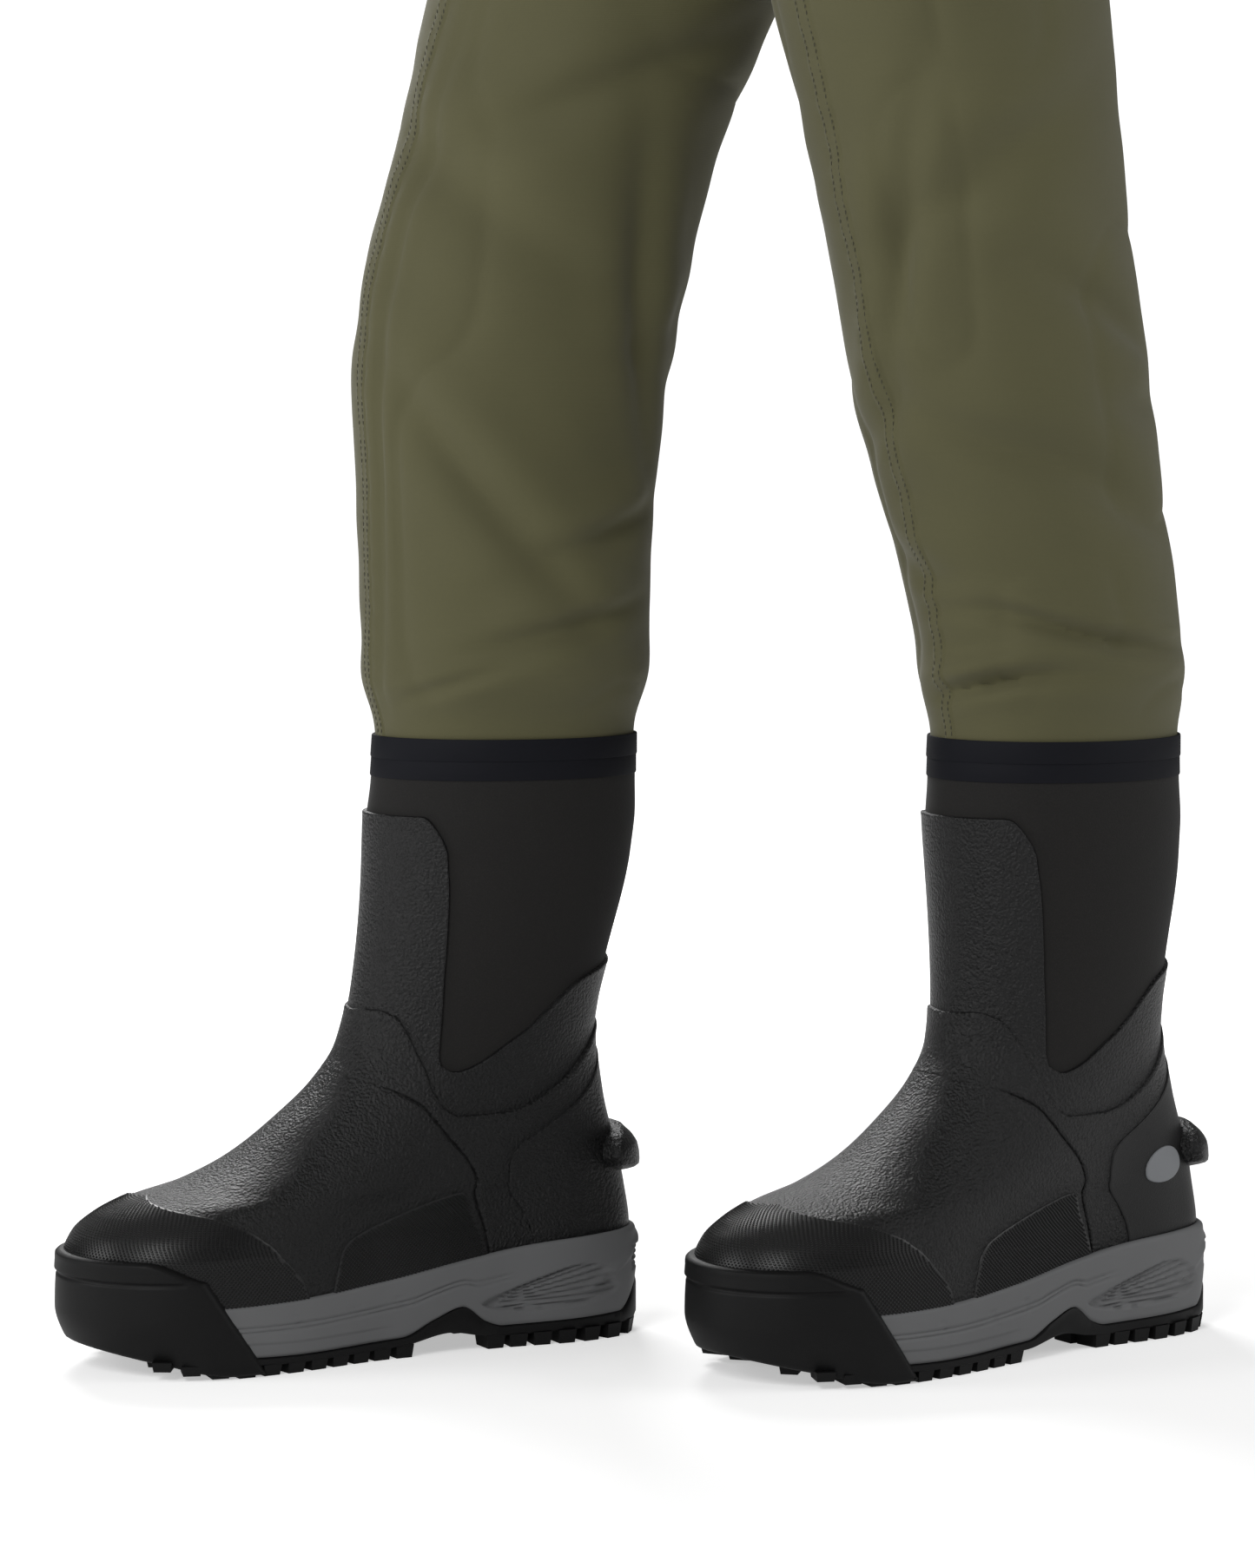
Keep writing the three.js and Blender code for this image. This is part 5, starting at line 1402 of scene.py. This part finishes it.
def bibDetails():
    around = np.linspace(0, 2 * np.pi, 240, endpoint=False)
    section = [(-22, 0.6), (-22, 1.7), (-20, 2.1), (-2, 2.2), (0.2, 1.6), (0.8, 0), (0.2, -2.2), (-2, -2.8),
               (-19, -2.8), (-21, -2.2), (-21, -0.6)]
    rings = [torsoSkin(around, topEdge(around) + dz, np.full(240, off)) for dz, off in section]
    hem = looped("TopHem", rings, "hem_binding", 50)
    torsoUv(hem)
    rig.ride(hem, "upper_garment")
    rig.replaces(hem, "bib_top_hem")
    closed = np.linspace(0, 2 * np.pi, 700)
    sewn = [torsoStitches("HemStitchesUpper", closed, topEdge(closed) - 4, 2.25),
            torsoStitches("HemStitchesLower", closed, topEdge(closed) - 18, 2.25)]

    pocket = torsoPanel("ChestPocket", -75, 75, 1130, 1330, 0.5, 1.7, "cloth", 12)
    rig.replaces(pocket, "chest_pocket")
    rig.sheet(pocket, flat=(0.15, 0.2), held="stretched", rests_on=["bib_and_seat"])
    sewn += [sewnBox("PocketStitchesOuter", -71.5, 71.5, 1133.5, 1326.5, 2.3),
             sewnBox("PocketStitchesInner", -66, 66, 1139, 1321, 2.3)]
    tape = torsoPanel("ZipTape", -14, 14, 1146, 1322, 2.0, 1.1, "zip_tape", 2)
    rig.replaces(tape, "pocket_zip_tape")
    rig.sheet(tape, flat=(0.028, 0.176), held="stretched", rests_on=["chest_pocket"])
    sewn += [sewnBox("ZipStitches", -11.5, 11.5, 1148.5, 1319.5, 3.2, "blackThread")]
    teeth = []
    for i, z in enumerate(np.arange(1150, 1318, 1.6)):
        x = 1.15 if i % 2 else -1.15
        at = torsoSkin(turnAtX(np.array([x]), z), np.array([z]), np.array([3.0]))[0]
        teeth.append((at, (0, -1, 0), (1, 0, 0)))
    zipTeeth = setOnPoints("ZipTeeth", teeth, "block", (3.6, 1.1, 1.5), "buckle_plastic", 0.8)
    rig.ride(zipTeeth, "upper_garment")
    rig.slot(zipTeeth, "buckle_plastic")

    yoke = torsoPanel("BackYoke", -39, 39, 1250, 1352, 2.2, 2.2, "webbing", 14, math.pi)
    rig.replaces(yoke, "back_yoke")
    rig.sheet(yoke, flat=(0.116, 0.102), held="stretched", rests_on=["bib_and_seat"])
    for turn, label in ((math.radians(-62), "right"), (math.radians(62), "left"), (math.pi, "back")):
        piece = beltLoop(label, turn)
        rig.replaces(piece, f"{label}_belt_loop")
        sewn.append(piece)
    print("bib details ready")
    return sewn


def ribbon(name, path, outward, width, wall, finish):  # a flat strap with rounded edges along a path
    path, outward = np.asarray(path), unit(outward)
    ahead = unit(np.gradient(path, axis=0))
    across = unit(np.cross(ahead, outward))
    outward = unit(np.cross(across, ahead))
    half, thick = width / 2, wall / 2
    section = [(-half, 0), (-half + 0.35, thick * 0.8), (-half + 1.1, thick), (0, thick * 0.9),
               (half - 1.1, thick), (half - 0.35, thick * 0.8), (half, 0), (half - 0.35, -thick * 0.8),
               (half - 1.1, -thick), (0, -thick * 0.9), (-half + 1.1, -thick), (-half + 0.35, -thick * 0.8)]
    rings = np.array([[p + a * u + n * v for u, v in section] for p, a, n in zip(path, across, outward)])
    piece = capped(name, rings, finish, 50)
    steps = np.linalg.norm(np.diff(path, axis=0), axis=1)
    run = np.concatenate([[0], np.cumsum(steps)]) * mm
    layer = piece.data.uv_layers.new(name="wrap")
    count = len(section)
    for loop in piece.data.loops:
        v = loop.vertex_index
        ring, slot = divmod(v, count)
        if ring >= len(rings):
            layer.data[loop.index].uv = (0, 0 if v == len(rings) * count else run[-1])
        else:
            layer.data[loop.index].uv = (section[slot][0] * mm, run[ring])
    return piece


belt = {"width": 38, "wall": 2.4, "standOff": 6.2, "straight": 56, "merge": 118, "gap": 0.7}


def beltPoint(turn):
    zs = np.full(len(turn), float(bib["waistZ"]))
    points = torsoSkin(turn, zs, np.full(len(turn), belt["gap"] + belt["wall"] / 2))
    reach = np.abs(points[:, 0] - torsoMiddle[0])
    straightY = torsoMiddle[1] - torsoDepthAt(bib["waistZ"]) - belt["standOff"]
    share = (1 - smooth((reach - belt["straight"]) / (belt["merge"] - belt["straight"]))) * (np.cos(turn) > 0)
    share = np.where(reach > belt["merge"], 0, share)
    points[:, 1] = mix(points[:, 1], straightY, share)
    return points


def wadingBelt():
    first = float(turnAtX(10, bib["waistZ"]))
    last = 2 * math.pi + float(turnAtX(-27, bib["waistZ"]))
    turns = np.linspace(first, last, 260)
    path = beltPoint(turns)
    centre = np.array([torsoMiddle[0], torsoMiddle[1], bib["waistZ"]])
    ahead = np.gradient(path, axis=0)
    outward = np.cross(ahead, [0, 0, 1.0])
    outward *= np.sign(((path - centre) * outward).sum(1))[:, None]
    piece = ribbon("WadingBelt", path, outward, belt["width"], belt["wall"], "webbing")
    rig.ride(piece, "upper_garment")
    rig.replaces(piece, "wading_belt")
    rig.sheet(piece, flat=(0.038, 1.0), held="stretched", rests_on=["bib_and_seat"])


def beltLoop(label, turn):
    over = belt["gap"] + belt["wall"] + 0.9
    reach = belt["width"] / 2 + 1.6
    rows = [(-reach - 12, 0.9), (-reach - 6, 0.9), (-reach - 1, 1.0), (-reach + 1.5, over), (0, over + 0.3),
            (reach - 1.5, over), (reach + 1, 1.0), (reach + 6, 0.9), (reach + 12, 0.9)]
    zs = curveThrough([(i, r[0]) for i, r in enumerate(rows)])
    offs = curveThrough([(i, r[1]) for i, r in enumerate(rows)])
    t = np.linspace(0, len(rows) - 1, 60)
    heights = bib["waistZ"] + zs(t)
    path = torsoSkin(np.full(60, turn), heights, offs(t) + 1.0)
    outward = torsoSkin(np.full(60, turn), heights, offs(t) + 3.0) - path
    outward[:, 2] = 0
    piece = ribbon(label + "BeltLoop", path, outward, 20, 2.0, "hem_binding")
    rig.ride(piece, "upper_garment")
    for end in (-1, 1):
        z = bib["waistZ"] + end * (reach + 7)
        across = np.linspace(-7, 7, 20) / 150 + turn
        torsoStitches(f"{label}LoopTack{'Low' if end < 0 else 'High'}", across, np.full(20, z), 3.1,
                      size=(2.2, 0.8, 0.6), pitch=2.4)
    return piece


suspender = {"spread": 76, "shoulderZ": 1508, "tabBottom": 1346, "buckleZ": 1392, "width": 38, "wall": 1.9,
             "out": 6.9, "plug": 26, "prong": 20, "socket": 36, "yokeTop": 1352, "yokeAngle": 17}


def plainTorso(turn, z, off):
    a, b = float(torsoSideAt(z)), float(torsoDepthAt(z))
    n = unit([math.sin(turn) / a, -math.cos(turn) / b])
    return np.array([torsoMiddle[0] + a * math.sin(turn) + n[0] * off,
                     torsoMiddle[1] - b * math.cos(turn) + n[1] * off, z])


def throughPoints(points, count):  # a centripetal curve through the points
    p = [2 * points[0] - points[1], *points, 2 * points[-1] - points[-2]]
    out = []
    for k in np.linspace(0, len(points) - 1, count + 1):
        i = min(int(k), len(points) - 2)
        t = k - i
        a, b, c, d = p[i], p[i + 1], p[i + 2], p[i + 3]
        s0, s1, s2 = (np.linalg.norm(q - r) ** 0.5 for q, r in ((a, b), (b, c), (c, d)))
        m1 = ((b - a) / s0 - (c - a) / (s0 + s1) + (c - b) / s1) * s1
        m2 = ((c - b) / s1 - (d - b) / (s1 + s2) + (d - c) / s2) * s1
        out.append(b + m1 * t + (-3 * b + 3 * c - 2 * m1 - m2) * t * t + (2 * b - 2 * c + m1 + m2) * t ** 3)
    return np.array(out)


def brace(name, sign):
    startZ = suspender["buckleZ"] + 8
    straight = suspender["plug"] + suspender["prong"] + 8
    turn = float(turnAtX(sign * suspender["spread"], startZ))
    strapOut = suspender["out"]
    start = plainTorso(turn, startZ, strapOut)
    endTurn = math.pi - sign * math.radians(suspender["yokeAngle"] * 0.55)
    end = plainTorso(endTurn, suspender["yokeTop"] + 0.3, 1.9)
    at = lambda x, y, z: np.array([torsoMiddle[0] + sign * x, torsoMiddle[1] + y, z])
    up = lambda p, z: np.array([p[0], p[1], z])
    points = [start, up(start, startZ + straight / 2), up(start, startZ + straight), at(77.5, -130, 1477),
              at(80, -104, 1496), at(83, -58, suspender["shoulderZ"] - 2),
              at(84, 10, suspender["shoulderZ"]), at(76, 66, suspender["shoulderZ"] - 16),
              at(60, 106, suspender["shoulderZ"] - 52), end + np.array([sign * 10, -6, 56]),
              end + np.array([0, 0, 18]), end]
    path = throughPoints(points, 150)
    flat = plainTorso(turn, startZ, strapOut + 1) - start
    startAcross = unit([-flat[1], flat[0], 0])
    if startAcross[0] < 0:
        startAcross = -startAcross
    share = smooth((np.linspace(0, 1, len(path)) - 0.15) / 0.4)[:, None]
    across = mix(startAcross[None, :], np.array([[1.0, 0, 0]]), share)
    ahead = np.gradient(path, axis=0)
    outward = np.cross(ahead, across)
    inside = np.array([torsoMiddle[0], torsoMiddle[1], 1380])
    if ((path[75] - inside) * outward[75]).sum() < 0:
        outward = -outward
    piece = ribbon(name.title() + "Brace", path, outward, suspender["width"], suspender["wall"], "webbing")
    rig.ride(piece, "upper_garment")
    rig.replaces(piece, f"{name}_suspender")
    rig.sheet(piece, flat=(0.038, 0.46), held="stretched", rests_on=["back_yoke"])
    # the short tab that holds the socket
    seatTurn = float(turnAtX(sign * suspender["spread"], suspender["buckleZ"]))
    tabKeys = [(suspender["tabBottom"] - 10, 1.9), (suspender["tabBottom"], 1.9),
               (suspender["buckleZ"] - suspender["socket"] - 1, strapOut - 0.2),
               (suspender["buckleZ"] - suspender["socket"] + 10, strapOut)]
    offAt = curveThrough(tabKeys)
    zs = np.linspace(tabKeys[0][0], tabKeys[-1][0], 30)
    tabPath = np.array([plainTorso(seatTurn, z, float(offAt(z))) for z in zs])
    facing = plainTorso(seatTurn, 1380, 2.0) - plainTorso(seatTurn, 1380, 1.0)
    tab = ribbon(name.title() + "FrontTab", tabPath, np.repeat(facing[None, :], 30, 0), suspender["width"],
                 suspender["wall"], "webbing")
    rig.ride(tab, "upper_garment")
    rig.replaces(tab, f"{name}_front_tab")
    return tab


def refined(node, body, width):  # a moulded part: its CAD shape with worn-in edges
    source = bpy.data.objects[node]
    shape = bmesh.new()
    shape.from_mesh(source.data)
    bmesh.ops.remove_doubles(shape, verts=shape.verts, dist=1e-5)
    bmesh.ops.dissolve_limit(shape, angle_limit=math.radians(2), verts=shape.verts, edges=shape.edges)
    mesh = bpy.data.meshes.new(node + "Moulded")
    shape.to_mesh(mesh)
    shape.free()
    piece = bpy.data.objects.new(node + "Moulded", mesh)
    bpy.context.scene.collection.objects.link(piece)
    bevel = piece.modifiers.new("edges", "BEVEL")
    bevel.width = width * mm
    bevel.segments = 3
    bevel.limit_method = "ANGLE"
    bevel.angle_limit = math.radians(40)
    evaluated(piece)
    mesh = piece.data
    mesh.materials.clear()
    mesh.materials.append(finishes["buckle_plastic"])
    mesh.shade_smooth()
    mesh.set_sharp_from_angle(angle=math.radians(35))
    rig.ride(piece, body)
    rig.replaces(piece, node)
    return piece


view = {"lens": 120.8, "stand": (2.4249, -1.400, 0.521), "down": 4.7, "round": 60}
# the floor glows by itself as painted light, weaker near the boots as a painted shade round them, and lights the
# pieces less than it shows
glowing = {"near": 450.0, "far": 1900.0, "low": 0.46, "high": 1.0, "unseen": 0.2}
lamps = {
    "key": ((2.0, -2.8, 2.5), 1.4, 66),
    "fill": ((1.6, 2.4, 1.5), 1.8, 24),
    "rim": ((-2.4, 0.6, 1.9), 1.2, 46),
    "left": ((-0.9, -2.8, 1.3), 1.2, 26),
}


def setStage():
    scene = bpy.context.scene
    lens = bpy.data.cameras.new("camera")
    lens.lens = view["lens"]
    camera = bpy.data.objects.new("camera", lens)
    scene.collection.objects.link(camera)
    origin = Vector((*(designOrigin * mm), 0))
    camera.location = origin + Vector(view["stand"])
    pitch, turn = math.radians(view["down"]), math.radians(view["round"])
    heading = Vector((-math.sin(turn), math.cos(turn), 0))
    look = heading * math.cos(pitch) + Vector((0, 0, -math.sin(pitch)))
    camera.rotation_euler = look.to_track_quat("-Z", "Y").to_euler()
    scene.camera = camera
    floorMesh = bpy.data.meshes.new("floor")
    reach = 30
    floorMesh.from_pydata([(-reach, -reach, 0), (reach, -reach, 0), (reach, reach, 0), (-reach, reach, 0)],
                          [], [(0, 1, 2, 3)])
    f = Finish("paleFloor")
    spread = f.noise(f.place(), 60.0, 3.0)
    # painted shade and light: the floor's own glow is dimmer close to the boots and brighter far off
    away = f.node("VectorMath", {"operation": "LENGTH"}, {0: f.place()}).out("Value")
    glow = f.node("MapRange", {"interpolation_type": "SMOOTHSTEP"}, {
        "Value": away, "From Min": glowing["near"], "From Max": glowing["far"],
        "To Min": glowing["low"], "To Max": glowing["high"]}).out("Result")
    # painted light: the camera sees the floor's glow brighter than the glow that lights the pieces
    seen = f.node("LightPath").out("Is Camera Ray")
    glow = glow * (seen * (1 - glowing["unseen"]) + glowing["unseen"])
    floorMesh.materials.append(f.finish({
        "Base Color": (0.9, 0.9, 0.9), "Roughness": spread * 0.1 + 0.6, "Specular IOR Level": 0.2,
        "Emission Color": f.node("CombineXYZ", {}, {0: glow, 1: glow, 2: glow}).out(),
        "Emission Strength": 1.0}))
    floor = bpy.data.objects.new("floor", floorMesh)
    scene.collection.objects.link(floor)
    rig.stage(floor)
    world = bpy.data.worlds.new("studio")
    world.use_nodes = True
    back = world.node_tree.nodes["Background"]
    path = world.node_tree.nodes.new("ShaderNodeLightPath")
    level = world.node_tree.nodes.new("ShaderNodeMapRange")
    level.inputs["To Min"].default_value = 0.15
    level.inputs["To Max"].default_value = 1.15
    world.node_tree.links.new(path.outputs["Is Camera Ray"], level.inputs["Value"])
    world.node_tree.links.new(level.outputs["Result"], back.inputs["Strength"])
    back.inputs["Color"].default_value = (1, 1, 1, 1)
    scene.world = world
    scene.view_settings.view_transform = "Standard"
    for label, (spot, size, power) in lamps.items():
        lamp = bpy.data.lights.new(label, "AREA")
        lamp.energy = power
        lamp.size = size
        obj = bpy.data.objects.new(label, lamp)
        obj.location = spot
        obj.rotation_euler = (Vector((0, 0, 0.4)) - Vector(spot)).to_track_quat("-Z", "Y").to_euler()
        scene.collection.objects.link(obj)


setStage()
for side in stance.values():
    bootParts(side)
for legName in legs:
    legSleeve(legName)
seat = seatAndBib()
sewn = bibDetails()
wadingBelt()
for label, sign in (("right", -1), ("left", 1)):
    sewn.append(brace(label, sign))
    refined(f"{label}_buckle_socket", "upper_garment", 0.9)
    refined(f"{label}_buckle_plug", f"{label}_suspender_plug", 0.8)
refined("belt_buckle_socket", "upper_garment", 0.9)
refined("belt_buckle_plug", "belt_plug", 0.8)
refined("pocket_zip_slider", "zip_slider", 0.3)
refined("pocket_zip_pull", "zip_pull", 0.35)
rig.sheet(seat, flat=(1.04, 0.62), held="hung", rests_on=["right_suspender", "left_suspender"],
         with_pieces=[bpy.data.objects["TopHem"], *sewn])
print("upper garment ready")

# CAD pieces that stay in view keep their shape and get their finish
slotOf = {part["node"]: part["material_slot"] for part in frame["record"]["subparts"]}
for node, slotName in slotOf.items():
    obj = bpy.data.objects.get(node)
    if obj and obj.type == "MESH":
        obj.data.materials.clear()
        obj.data.materials.append(finishes[slotName])

with open("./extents.json", "w") as out:
    json.dump({"cad": cadBox, "visual": [list(corner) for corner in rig.bounds()]}, out)
